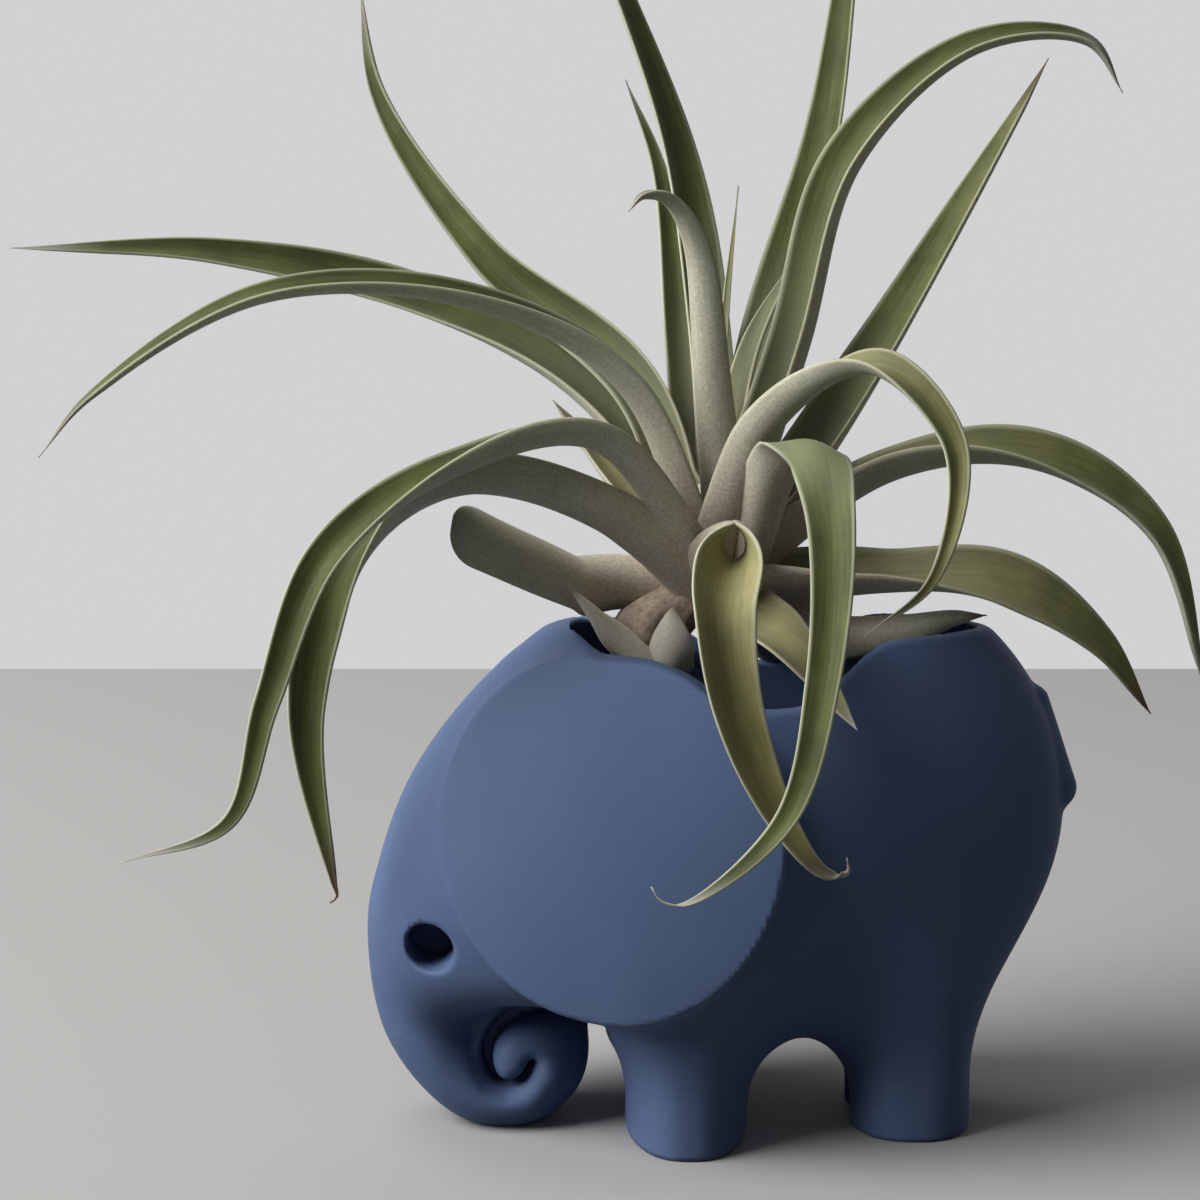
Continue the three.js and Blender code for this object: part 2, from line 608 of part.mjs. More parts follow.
// Blade half-width along the leaf: a wide base, a long even blade and a drawn-out tip
function bladeHalfWidth(leaf, t) {
  const taper = 1 - Math.max((t - LEAF_SPREAD) / (1 - LEAF_SPREAD), 0) ** (leaf.taper ?? LEAF_TAPER);
  return Math.max(leaf.width / 2 * taper, leaf.blunt ?? LEAF_TIP_HALF_WIDTH);
}

// Leaf: a channel section carried along the leaf's middle line. The open side of the channel faces
// the plant's axis at the base and turns outward as the leaf bends over.
function leafGeometry(leaf, grow) {
  const line = new THREE.CatmullRomCurve3(leaf.route.map((point) => new THREE.Vector3(...point)));
  const base = line.getPoint(0);
  const heading = line.getPoints(40).map((point) => point.clone().sub(base).setZ(0))
    .reduce((best, offset) => (offset.length() > best.length() ? offset : best));
  const across = new THREE.Vector3(0, 0, 1).cross(heading).normalize();
  const length = line.getLength();
  const steps = Math.max(Math.round(length / LEAF_RING_SPACING), 4);
  const [first, last] = leaf.roll;
  const rings = [];
  for (let step = 0; step <= steps; step += 1) {
    const t = step / steps;
    const tangent = line.getTangentAt(t);
    const side = across.clone().addScaledVector(tangent, -across.dot(tangent)).normalize();
    const turn = (last - first) * THREE.MathUtils.smoothstep(t, LEAF_SPREAD, 0.65);
    const roll = first * Math.min(t * length / LEAF_BASE, 1) + turn;
    side.applyAxisAngle(tangent, THREE.MathUtils.degToRad(roll));
    const inward = tangent.clone().cross(side);
    const half = bladeHalfWidth(leaf, t) + grow;
    const rise = LEAF_CHANNEL * half;
    const thick = Math.min(LEAF_THICKNESS, 1.4 * half) + 2 * grow;
    const place = ([s, n]) => line.getPointAt(t).addScaledVector(side, s).addScaledVector(inward, n - grow);
    const edge = rise + 0.6 * thick;
    rings.push([[-half, rise], [0, 0], [half, rise], [half, edge], [0, thick], [-half, edge]].map(place));
  }
  return ringSkin(rings);
}

function plantGroup() {
  const plant = new THREE.Group();
  plant.position.set(0, 0, RIM_Z);
  const stem = new THREE.Mesh(stemGeometry(0), new THREE.MeshStandardMaterial(STEM_BROWN));
  stem.name = 'plant_stem';
  plant.add(stem);
  const taken = [toSolid(stemGeometry(CLEARANCE))];
  Object.entries(LEAVES).forEach(([name, leaf]) => {
    const whole = toSolid(leafGeometry(leaf, 0));
    const blade = largestPiece(taken.reduce((rest, other) => rest.subtract(other), whole));
    taken.push(toSolid(leafGeometry(leaf, CLEARANCE)));
    const colours = name.startsWith('sheath') ? SHEATH_TAN : LEAF_GREEN;
    const mesh = new THREE.Mesh(toGeometry(blade), new THREE.MeshStandardMaterial(colours));
    mesh.name = name;
    plant.add(mesh);
  });
  return plant;
}

const planter = new THREE.Group();
const shell = new THREE.Mesh(planterGeometry(), new THREE.MeshStandardMaterial(SLATE_BLUE));
shell.name = 'planter_shell';
planter.add(shell, plantGroup());

export default planter;
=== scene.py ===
"""Looks of an elephant planter: a matte slate-blue pot in the shape of an elephant, with an air plant."""
import math
import bpy
import numpy as np
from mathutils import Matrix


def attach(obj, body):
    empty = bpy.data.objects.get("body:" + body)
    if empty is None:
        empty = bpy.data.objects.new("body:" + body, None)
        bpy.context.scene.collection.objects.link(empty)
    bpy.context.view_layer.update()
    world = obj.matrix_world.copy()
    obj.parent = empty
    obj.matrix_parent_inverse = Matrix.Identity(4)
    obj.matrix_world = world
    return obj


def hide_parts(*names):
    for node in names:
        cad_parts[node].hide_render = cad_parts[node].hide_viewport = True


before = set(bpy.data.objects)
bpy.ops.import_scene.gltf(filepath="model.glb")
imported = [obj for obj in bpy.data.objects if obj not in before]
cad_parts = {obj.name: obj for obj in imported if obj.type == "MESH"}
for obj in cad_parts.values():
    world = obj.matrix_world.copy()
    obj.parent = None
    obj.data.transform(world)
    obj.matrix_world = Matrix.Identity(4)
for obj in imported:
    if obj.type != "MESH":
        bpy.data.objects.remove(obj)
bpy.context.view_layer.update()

MM = 0.001

# Wall of the pot; sizes are in millimetres where a comment doesn't say otherwise
WALL = 3.0

# Skin of the planter: the cells and the corners of the grid that it is found on, how often its points are
# pulled onto it, the step that slopes are measured over, and what a field says far from a part of it
SKIN_CELL, SKIN_PULLS, SLOPE_STEP, FAR = 0.7, 3, 0.05, 50.0
SKIN_LOW, SKIN_HIGH = (-53.0, -36.0, -1.5), (57.0, 36.0, 79.0)

# Rump: the large ellipsoid that makes the back half
RUMP_X, RUMP_Z = 9.6, 46.6
RUMP_HALF_LENGTH, RUMP_HALF_WIDTH, RUMP_HALF_HEIGHT = 41.0, 27.5, 36.9
BELLY_Z, BELLY_ROUNDING = 11.8, 9.0
# From here on the rump narrows toward the tail
RUMP_TAPER_X, RUMP_TAPER, RUMP_TAPER_EASE = -5.0, 0.55, 0.4

# Head: a tilted ellipsoid whose long axis leans back from the trunk to the crown of the head
HEAD_X, HEAD_Z = -14.8, 39.6
HEAD_HALF_LENGTH, HEAD_HALF_WIDTH, HEAD_HALF_DEPTH = 35.7, 25.0, 29.4
HEAD_TILT = math.radians(44)
CHIN_Z, CHIN_ROUNDING = 20.0, 6.0
NECK_BLEND = 10.0

# Ears: oval discs cut from a larger tilted ellipsoid, proud of the body and turned a little to the front
EAR_X, EAR_Z = -14.6, 46.1
EAR_HALF_LENGTH, EAR_HALF_HEIGHT, EAR_HALF_WIDTH = 23.7, 24.9, 31.0
EAR_FACE_X, EAR_FACE_Z, EAR_FACE_HALF_LENGTH, EAR_FACE_HALF_DEPTH = 12.0, 36.0, 80.0, 58.0
EAR_EDGE_ROUNDING, EAR_BLEND = 0.8, 1.2

# Legs: an oval block for each pair, split into two feet by a slot along the middle
FRONT_LEG_X, FRONT_LEG_HALF_LENGTH, FRONT_LEG_HALF_WIDTH = -3.5, 8.9, 22.5
REAR_LEG_X, REAR_LEG_HALF_LENGTH, REAR_LEG_HALF_WIDTH = 28.7, 8.9, 14.0
LEG_SECTION_POWER, LEG_BLEND = 2.5, 11.0
LEG_TOP_Z, LEG_TOP_ROUNDING, ARCH_ROUNDING = 30.0, 12.0, 4.0
FOOT_SLOT_RADIUS, FOOT_SLOT_Z, FOOT_SLOT_ROUNDING = 3.6, 7.0, 2.0
SOLE_ROUNDING = 0.7

# Snout, trunk [x, z, radius] and the curled knob at the trunk's tip, with a spiral groove [x, z]
SNOUT_TOP, SNOUT_TOP_RADIUS = (-26.5, 38.5), 11.6
SNOUT_END, SNOUT_END_RADIUS = (-37.1, 26.9), 10.3
SNOUT_WIDENING, SNOUT_BLEND = 1.12, 9.0
TRUNK_ROUTE = [
    (-37, 25.5, 9.4), (-40.8, 18.3, 7.6), (-38.7, 10.5, 6.1), (-32.9, 4.7, 5.4), (-26.4, 4.5, 5),
    (-23.4, 8, 4.6),
]
TRUNK_STEPS, TRUNK_WIDENING, TRUNK_LEAST_HALF_WIDTH, TRUNK_BLEND = 48, 1.2, 10.0, 4.0
CURL_X, CURL_Z, CURL_RADIUS, CURL_HALF_WIDTH, CURL_BLEND = -27.3, 9.4, 9.7, 10.0, 1.0
CURL_GROOVE = [
    (-16.4, 15.6), (-20.5, 17.6), (-25, 17.2), (-29.4, 15.4), (-31.8, 12.4), (-32, 9.6), (-30.9, 7.4),
    (-29.2, 6.7), (-26.9, 7.8), (-25.6, 10),
]
CURL_GROOVE_START, CURL_GROOVE_END, CURL_GROOVE_ROUNDING = 2.4, 1.0, 2.4
CURL_GROOVE_STEPS, CURL_WEB = 40, 5.0

# Tail: a short drop lying on the rump
TAIL_TOP_Z, TAIL_TIP_Z = 61.0, 48.5
TAIL_TOP_RADIUS, TAIL_TIP_RADIUS, TAIL_SINK, TAIL_BLEND = 2.2, 3.2, 1.2, 1.2

# Eyes, drilled from both sides
EYE_X, EYE_Z, EYE_RADIUS, EYE_BOTTOM_Y, EYE_ROUNDING = -39.6, 28.8, 3.4, 5.0, 0.9

# Pot: its floor, its rim and its mouth, with a saddle in both sides of the rim and a shelf before it
POT_FLOOR_Z, POT_FLOOR_ROUNDING = 32.0, 3.0
RIM_SHARE, RIM_ROUNDING, LIP = 0.688, 0.9, 2.2
RIM_Z = RUMP_Z + RIM_SHARE * RUMP_HALF_HEIGHT
RIM_NARROWING = math.sqrt(1 - RIM_SHARE ** 2)
MOUTH_HALF_LENGTH = RUMP_HALF_LENGTH * RIM_NARROWING - LIP
MOUTH_HALF_WIDTH = RUMP_HALF_WIDTH * RIM_NARROWING - LIP
MOUTH_DEPTH, MOUTH_ROUNDING = 7.0, 3.0
MOUTH_FRONT_RADIUS, MOUTH_FRONT_REACH, MOUTH_FRONT_BLEND = 16.5, 1.5, 3.0
MOUTH_FRONT_X = RUMP_X - MOUTH_HALF_LENGTH + MOUTH_FRONT_RADIUS - MOUTH_FRONT_REACH
SADDLE_X, SADDLE_DEPTH, SADDLE_HALF_LENGTH = 8.0, 8.5, 11.0
SHELF_DEPTH, SHELF_X, SHELF_EASE = 1.8, -20.0, 5.0

# Plant: how far out its front leaves hang past the ear and past each other, and its top
HANG_CLEARANCE, HANG_STEP = 6.0, 7.5
HANG = -(EAR_HALF_WIDTH + HANG_CLEARANCE)
HANG_OVER = HANG - HANG_STEP
LEAF_TOP = 122

# Blade of a leaf: its grid, the sharpness of its fold and its thickness, with the share of that at its
# margins and the most that it may be of half its width
LEAF_ROUTE_STEPS, LEAF_RINGS, LEAF_SIDES, LEAF_FOLD = 800, 150, 17, 0.8
LEAF_THICKNESS, LEAF_EDGE_SHARE, LEAF_THICKEST_SHARE = 1.0, 0.35, 0.9
# Wider wrap and swelling of its base, and how far along the blade they reach
BASE_WRAP, BASE_REACH, BASE_SWELL = math.radians(95), 15.0, 0.32
# Where along the blade, as shares of its length, its roll turns to that of the tip and its taper begins,
# with the power of the taper and the half-width at a sharp tip
ROLL_TURN_START, ROLL_TURN_LENGTH = 0.3, 0.35
TAPER_START, TAPER_POWER, LEAST_HALF_WIDTH = 0.25, 1.6, 0.12
# Also as shares of its length: how long a pinch is and where a blunt tip begins to round; how far it closes
PINCH_LENGTH, BLUNT_START, BLUNT_CLOSING = 0.07, 0.87, 0.98
# Slow waver of the roll in degrees and of the width as a share, with their paces and a phase for each leaf
ROLL_WAVER, ROLL_WAVER_PACE = 4.0, 7.0
WIDTH_WAVER, WIDTH_WAVER_PACE = 0.03, 13.0
WAVER_PHASE = 2.4

# Stem [x, y, z, radius] from its foot, just clear of the pot's floor, to its top between the leaves, with up
# measured from the rim
STEM_CLEARANCE = 0.3
STEM_FOOT = POT_FLOOR_Z + STEM_CLEARANCE - RIM_Z
STEM_ROUTE = [
    (0, 0, STEM_FOOT, 3.6), (0, 0, -22, 3.6), (-6, -2, -12, 4.4), (-9.5, -3, -3.5, 5.2),
    (-7, -2.5, 2, 6.6), (-1, 0, 6, 6.6), (0.5, 0, 10, 4.6), (1, 0, 15, 2.3),
]
# Grid of the stem, the ribs that wind round it and the scars of old leaves that vary their depth
STEM_RINGS, STEM_SIDES = 90, 72
RIB_DEPTH, RIB_COUNT, RIB_TWIST = 0.05, 7, 9
SCAR_DEPTH, SCAR_COUNT, SCAR_TWIST = 0.6, 31, 2

# Each leaf: width of its channel, roll of its blade near the base and near the tip in degrees, half the
# angle its channel wraps through near the base and near the tip, tint from dark green to straw, dryness
# of its tip from silver to brown, and the middle line of the blade from base to tip, with up measured
# from the rim. Some have the power of their taper, half the width of a blunt tip, or the place of a pinch
# with what it adds to the wrap.
LEAVES = {
    "leaf_left_long": dict(width=8.0, roll=(-30, -58), wrap=(70, 40), tint=0.2, dry=0.2, route=[
        (-2, 3, 4), (-16, 14, 29), (-43, 22, 45), (-72, 21, 52), (-101.8, 16, 53)]),
    "leaf_left_droop": dict(width=7.4, roll=(-6, -20), wrap=(75, 50), tint=0.1, dry=0.5, route=[
        (-2, -1, 5), (-13, -6, 34), (-34, -13, 46), (-61, -20, 47), (-84, -23, 34), (-91, -23, 26)]),
    "leaf_upper_left": dict(width=7.4, roll=(-75, -92), wrap=(80, 55), tint=0.2, dry=0.3, route=[
        (-1, 4, 6), (-9, 13, 32), (-32, 26, 52), (-49, 35, 76), (-52, 36, 92)]),
    "leaf_top_left": dict(width=7.6, roll=(0, 10), wrap=(60, 45), tint=0.1, dry=0.5, route=[
        (0, 4, 8), (-1, 18, 40), (-5, 31, 67), (-17, 38, 101), (-25, 42, LEAF_TOP)]),
    "leaf_top_back": dict(width=6.0, roll=(0, 0), wrap=(60, 45), tint=0.2, dry=0.5, route=[
        (-2, 5, 8), (-4, 24, 38), (-7, 38, 64), (-12, 43, 78)]),
    "leaf_curled": dict(width=6.4, roll=(0, 0), wrap=(85, 75), tint=0.4, dry=0.2, taper=2.6, route=[
        (0, -2, 8), (-2, -4, 37), (-4, -5, 55), (-7, -7, 60), (-10, -9, 60.5), (-12, -11, 58.5)]),
    "leaf_thin": dict(width=1.8, roll=(0, 0), wrap=(50, 50), tint=0.5, dry=0.5, route=[
        (1, 3, 10), (2, 8, 42), (4, 12, 62)]),
    "leaf_top_right": dict(width=9.2, roll=(-8, -14), wrap=(62, 50), tint=0.1, dry=0.5, route=[
        (2, 4, 8), (10, 20, 40), (18.5, 33, 69), (22.5, 38, 100), (25, 42, LEAF_TOP - 1)]),
    "leaf_right_arch": dict(width=8.6, roll=(22, 30), wrap=(76, 60), tint=0.2, dry=0.1, taper=2.3, route=[
        (3, 1, 8), (13, 2, 40), (20, 4, 65), (37, 6, 81), (53, 7, 82), (58, 7, 75)]),
    "leaf_right_inner": dict(width=5.6, roll=(0, 0), wrap=(60, 45), tint=0.3, dry=0.3, route=[
        (2, 3, 9), (6, 10, 38), (14, 14, 54)]),
    "leaf_upper_right": dict(width=10.4, roll=(5, 5), wrap=(60, 50), tint=0.35, dry=1.0, route=[
        (3, 4, 4), (20, 17, 28), (37, 30, 55), (52, 38, 81)]),
    "leaf_front_arch": dict(width=7.0, roll=(-10, 50), wrap=(80, 60), tint=0.5, dry=0.2, taper=1.0, route=[
        (1, -4, 6), (8, -12, 29), (21, -20, 37.5), (31, -27, 28), (28, -32, 11), (19, HANG + 6, 3)]),
    "leaf_right_long": dict(width=10.4, roll=(0, 38), wrap=(72, 45), tint=0.4, dry=0.6, route=[
        (3, 1, 4), (26, 5, 20.5), (47, 6, 22.5), (63, 4, 13), (71, 0, -10)]),
    "leaf_right_low": dict(width=10.5, roll=(12, 60), wrap=(70, 30), tint=0.5, dry=1.0, route=[
        (4, -2, 3), (24, -5, 6), (41, -6, 6.2), (54, -6, -1.5), (62, -5, -12)]),
    "leaf_rear_rim": dict(width=8.4, roll=(-132, -132), wrap=(55, 45), tint=0.3, dry=1.0, route=[
        (3, 0, 2), (15, -5, 0.2), (27, -6, 0.8), (34, -4, 1.8), (39, -1.5, 1.6)]),
    "leaf_left_arch": dict(width=7.6, roll=(8, -65), wrap=(75, 45), tint=0.1, dry=0.0, taper=1.15, route=[
        (-2, -4, 5), (-17, -17, 27), (-35, -23, 24), (-52, -28, 13), (-60, -29, -6), (-66, -27, -23),
        (-81, -25, -29)]),
    "leaf_left_second": dict(width=8.2, roll=(35, -70), wrap=(80, 50), tint=0.1, dry=1.0, taper=1.9, route=[
        (-3, -4, 3), (-16, -13, 16), (-34, -17, 21), (-50, -18, 11), (-56, -16, -9), (-53, -14, -34),
        (-52.6, -14, -36.4), (-53.6, -14, -37.2)]),
    "leaf_left_blunt": dict(width=9.4, roll=(122, 116), wrap=(48, 30), tint=0.6, dry=0.3, blunt=4.8, route=[
        (-5, 0, 1.5), (-15.3, -3, 6), (-24.3, -9, 10.4), (-36, -16, 16.5)]),
    "leaf_front_left": dict(width=9.8, roll=(0, 0), wrap=(75, 50), tint=0.8, dry=0.1,
                            pinch=(0.24, 75), route=[
        (1, -4, 3), (2.4, -20, 11.5), (-0.6, HANG + 3, 6), (1.4, HANG - 2, -7), (8, HANG - 3, -21),
        (13.5, HANG - 3, -27), (16.6, HANG - 2, -27), (16.4, HANG - 2, -25)]),
    "leaf_front_right": dict(width=7.2, roll=(0, 0), wrap=(45, 45), tint=0.2, dry=0.1,
                             pinch=(0.31, -98), route=[
        (3, -3, 4), (7.5, -13, 22.5), (12, -24, 28), (14.4, HANG + 2, 18), (13, HANG_OVER + 2, -1),
        (8, HANG_OVER, -19), (-5, HANG_OVER, -30), (-8, HANG_OVER, -29.5), (-9.3, HANG_OVER, -27.6)]),
    "leaf_front_rim": dict(width=9.4, roll=(15, 15), wrap=(50, 40), tint=0.7, dry=0.0, route=[
        (2, -3, 2), (10, -25, 0), (18, HANG + 3, -9)]),
    "leaf_back_left": dict(width=7.6, roll=(0, 0), wrap=(60, 45), tint=0.7, dry=0.3, route=[
        (-3, 3, 6), (-14, 18, 19), (-23, 28, 30)]),
    "leaf_far_left": dict(width=7.2, roll=(0, 0), wrap=(60, 45), tint=0.2, dry=0.3, route=[
        (-3, 4, 3), (-6, 22, 8), (-8, 40, -2), (-8, 52, -18)]),
    "leaf_far_middle": dict(width=7.6, roll=(0, 0), wrap=(60, 45), tint=0.3, dry=0.3, route=[
        (1, 4, 4), (4, 24, 14), (6, 44, 4), (7, 58, -14)]),
    "leaf_far_right": dict(width=7.2, roll=(0, 0), wrap=(60, 45), tint=0.2, dry=0.3, route=[
        (3, 4, 3), (9, 19, -7.6), (14, 34, -11.5), (18, 47, -22)]),
    "sheath_left": dict(width=4.8, roll=(120, 120), wrap=(50, 40), tint=0.8, dry=0.2, route=[
        (-8, -7.2, -9), (-10.8, -9.2, -4), (-14.8, -10, 1.2), (-20.3, -10.8, 7)]),
    "sheath_front": dict(width=6.8, roll=(-40, -40), wrap=(35, 30), tint=0.8, dry=0.2, taper=3.0, route=[
        (-6.5, -6, -9), (-6.2, -10.5, -3), (-5.8, -13, 4.5)]),
}

# Colours as a colour picker shows them, each finish from its one shade to its other; the margin colour of the
# leaves and sheaths is a pale rim, partly a painted highlight along their edges
PLASTIC = ((84, 103, 140), (90, 109, 146))
STEM = ((136, 118, 102), (190, 174, 156))
LEAF = dict(
    outer=((176, 177, 153), (214, 214, 196)), inner=((56, 66, 27), (92, 102, 49)),
    ripe=((132, 130, 72), (178, 170, 118)), base=((174, 158, 146), (212, 200, 186)),
    tip=((190, 188, 178), (84, 66, 48)), margin=((196, 198, 172),),
)
SHEATH = dict(
    outer=((220, 214, 198), (240, 236, 224)), inner=((170, 160, 134), (206, 196, 170)),
    ripe=((150, 140, 112), (186, 176, 148)), base=((216, 208, 192), (238, 233, 220)),
    tip=((172, 166, 150), (110, 92, 74)), margin=((200, 194, 176),),
)

# Printed layers of the plastic: their height and the depth of the grooves between them
LAYER_HEIGHT, LAYER_GROOVE = 0.2, 0.02

# Camera: its place, its tilt down, its lens and film width, and in metres the nearest and farthest it sees
CAMERA_PLACE = (-15.9, -423.0, 135.0)
CAMERA_TILT, CAMERA_LENS, CAMERA_FILM = math.radians(8), 90.0, 36.0
CAMERA_NEAR, CAMERA_FAR = 0.01, 20.0

# Lamps: place, aim and width in metres, power in watts and colour
WINDOW = dict(place=(-1.42, -0.48, 1.12), aim=(0, 0, 0.07), size=1.5, power=47.0, colour=(1.0, 0.99, 0.97))
CEILING = dict(place=(-0.35, 0.2, 1.2), aim=(0, 0, 0.1), size=0.7, power=3.0, colour=(1.0, 0.99, 0.98))

# World: its colour, its strength as a light, and what it gains where it is seen
WORLD_COLOUR, WORLD_LIGHT, WORLD_SEEN = (0.99, 0.98, 1.0, 1.0), 0.05, 0.6

# Table top: its edges in metres, and its colour where it is seen and where it only throws light back
TABLE_FRONT, TABLE_BACK, TABLE_HALF_WIDTH = -2.0, 0.4, 3.0
TABLE_SEEN, TABLE_UNSEEN = (186, 185, 184), (70, 70, 70)


# Distance fields of the planter: negative inside, zero on the skin, about the distance outside

def smooth_min(a, b, blend):
    """The smaller of two fields, with the corner between them rounded over the blend length."""
    h = np.maximum(blend - np.abs(a - b), 0) / blend
    return np.minimum(a, b) - h * h * blend / 4


def smooth_max(a, b, blend):
    """The larger of two fields, with the corner between them rounded over the blend length."""
    return -smooth_min(-a, -b, blend)


def oval(offsets, halves, power):
    """Field of an oval: the sum of (offset / half-size) ** power is 1 on its skin."""
    shares = [np.abs(offset) / half for offset, half in zip(offsets, halves)]
    gauge = np.maximum(sum(share ** power for share in shares) ** (1 / power), 1e-6)
    slope = np.sqrt(sum((share ** (power - 1) / half) ** 2 for share, half in zip(shares, halves)))
    return (gauge - 1) / (gauge ** (1 - power) * np.maximum(slope, 1e-9))


def bar(x, y, z, start, end, start_radius, end_radius):
    """Field of a round bar in the middle plane, from start to end [x, z], with a radius at each end."""
    ax, az = end[0] - start[0], end[1] - start[1]
    share = np.clip(((x - start[0]) * ax + (z - start[1]) * az) / (ax * ax + az * az), 0, 1)
    radius = start_radius + (end_radius - start_radius) * share
    return np.sqrt((x - start[0] - share * ax) ** 2 + y * y + (z - start[1] - share * az) ** 2) - radius


def spline(points, count):
    """Points spaced evenly by parameter on the smooth curve through the given points: a cubic between each
    two, whose end slopes allow for the square root of the distances (centripetal Catmull-Rom)."""
    points = np.asarray(points, float)
    padded = np.vstack([2 * points[0] - points[1], points, 2 * points[-1] - points[-2]])
    place = np.linspace(0, len(points) - 1, count)
    part = np.minimum(place.astype(int), len(points) - 2)
    t = (place - part)[:, None]
    a, b, c, d = (padded[part + k] for k in range(4))
    pairs = ((a, b), (b, c), (c, d))
    before, here, after = (np.sqrt(np.linalg.norm(q - p, axis=1))[:, None] for p, q in pairs)
    start = ((b - a) / before - (c - a) / (before + here)) * here + (c - b)
    end = ((d - c) / after - (d - b) / (here + after)) * here + (c - b)
    return b + start * t + (3 * (c - b) - 2 * start - end) * t ** 2 + (2 * (b - c) + start + end) * t ** 3


def tilted_oval(x, y, z, halves):
    """Ellipsoid with its long axis leaning back by the head's tilt; half-sizes along it, across and out."""
    along = x * math.sin(HEAD_TILT) + z * math.cos(HEAD_TILT)
    outward = z * math.sin(HEAD_TILT) - x * math.cos(HEAD_TILT)
    return oval([along, y, outward], halves, 2)


def narrowing(x):
    """How much narrower the rump is than its egg at x: 1 in front, growing smoothly toward the tail."""
    share = np.maximum(x - RUMP_TAPER_X, 0) / RUMP_HALF_LENGTH
    return 1 + RUMP_TAPER * share ** 2 / (share + RUMP_TAPER_EASE)


def torso(x, y, z):
    """Rump and head as blended ovals, with the ear discs standing proud of them."""
    rump_halves = [RUMP_HALF_LENGTH, RUMP_HALF_WIDTH, RUMP_HALF_HEIGHT]
    rump = oval([x - RUMP_X, y * narrowing(x), z - RUMP_Z], rump_halves, 2)
    rump = smooth_max(rump, BELLY_Z - z, BELLY_ROUNDING)
    head = tilted_oval(x - HEAD_X, y, z - HEAD_Z, [HEAD_HALF_LENGTH, HEAD_HALF_WIDTH, HEAD_HALF_DEPTH])
    head = smooth_max(head, CHIN_Z - z, CHIN_ROUNDING)
    face_halves = [EAR_FACE_HALF_LENGTH, EAR_HALF_WIDTH, EAR_FACE_HALF_DEPTH]
    face = tilted_oval(x - EAR_FACE_X, y, z - EAR_FACE_Z, face_halves)
    outline = oval([x - EAR_X, z - EAR_Z], [EAR_HALF_LENGTH, EAR_HALF_HEIGHT], 2)
    ear = smooth_max(outline, face, EAR_EDGE_ROUNDING)
    return smooth_min(smooth_min(rump, head, NECK_BLEND), ear, EAR_BLEND)


def trunk(x, y, z):
    """An oval section carried along the trunk's centreline: the distance to the line, and sideways distance
    flattened by the section's shape, less the radius there. It ends in an oval knob."""
    line = spline(TRUNK_ROUTE, TRUNK_STEPS)
    near = (x < CURL_X + 2 * CURL_RADIUS) & (z < SNOUT_TOP[1])
    field = np.full(np.shape(x), FAR)
    px, py, pz = x[near], y[near], z[near]
    tube = np.full(px.shape, FAR)
    for (x0, z0, r0), (x1, z1, r1) in zip(line, line[1:]):
        ax, az = x1 - x0, z1 - z0
        share = np.clip(((px - x0) * ax + (pz - z0) * az) / (ax * ax + az * az), 0, 1)
        radius = r0 + (r1 - r0) * share
        flattening = np.minimum(1 / TRUNK_WIDENING, radius / TRUNK_LEAST_HALF_WIDTH)
        reach = np.hypot(px - x0 - share * ax, pz - z0 - share * az)
        tube = np.minimum(tube, np.hypot(reach, py * flattening) - radius)
    knob = oval([px - CURL_X, py, pz - CURL_Z], [CURL_RADIUS, CURL_HALF_WIDTH, CURL_RADIUS], 2)
    field[near] = smooth_min(tube, knob, CURL_BLEND)
    return field


def curl_groove(x, y, z):
    """A groove that narrows along a spiral, cut from both sides so that a web is left in the middle."""
    path = spline(CURL_GROOVE, CURL_GROOVE_STEPS)
    widths = np.linspace(CURL_GROOVE_START, CURL_GROOVE_END, CURL_GROOVE_STEPS)
    near = (x < CURL_X + 2 * CURL_RADIUS) & (z < CURL_Z + 2 * CURL_RADIUS)
    field = np.full(np.shape(x), FAR)
    px, pz = x[near], z[near]
    groove = np.full(px.shape, FAR)
    for start, end, first, last in zip(path, path[1:], widths, widths[1:]):
        groove = np.minimum(groove, bar(px, 0, pz, start, end, first / 2, last / 2))
    field[near] = np.maximum(groove, CURL_WEB / 2 - np.abs(y[near]))
    return field


def outside(x, y, z):
    """Body, snout, legs, tail and trunk joined, before anything is cut from them."""
    snout = bar(x, y / SNOUT_WIDENING, z, SNOUT_TOP, SNOUT_END, SNOUT_TOP_RADIUS, SNOUT_END_RADIUS)
    body = smooth_min(torso(x, y, z), snout, SNOUT_BLEND)
    front = oval([x - FRONT_LEG_X, y], [FRONT_LEG_HALF_LENGTH, FRONT_LEG_HALF_WIDTH], LEG_SECTION_POWER)
    rear = oval([x - REAR_LEG_X, y], [REAR_LEG_HALF_LENGTH, REAR_LEG_HALF_WIDTH], LEG_SECTION_POWER)
    legs = smooth_max(smooth_min(front, rear, ARCH_ROUNDING), z - LEG_TOP_Z, LEG_TOP_ROUNDING)
    slot = np.sqrt(y * y + np.maximum(z - FOOT_SLOT_Z, 0) ** 2) - FOOT_SLOT_RADIUS
    body = smooth_max(smooth_min(body, legs, LEG_BLEND), -slot, FOOT_SLOT_ROUNDING)
    tail_ends = []
    for level in (TAIL_TOP_Z, TAIL_TIP_Z):
        share = (level - RUMP_Z) / RUMP_HALF_HEIGHT
        tail_ends.append((RUMP_X + RUMP_HALF_LENGTH * math.sqrt(1 - share ** 2) - TAIL_SINK, level))
    tail = bar(x, y, z, *tail_ends, TAIL_TOP_RADIUS, TAIL_TIP_RADIUS)
    return smooth_min(smooth_min(body, tail, TAIL_BLEND), trunk(x, y, z), TRUNK_BLEND)


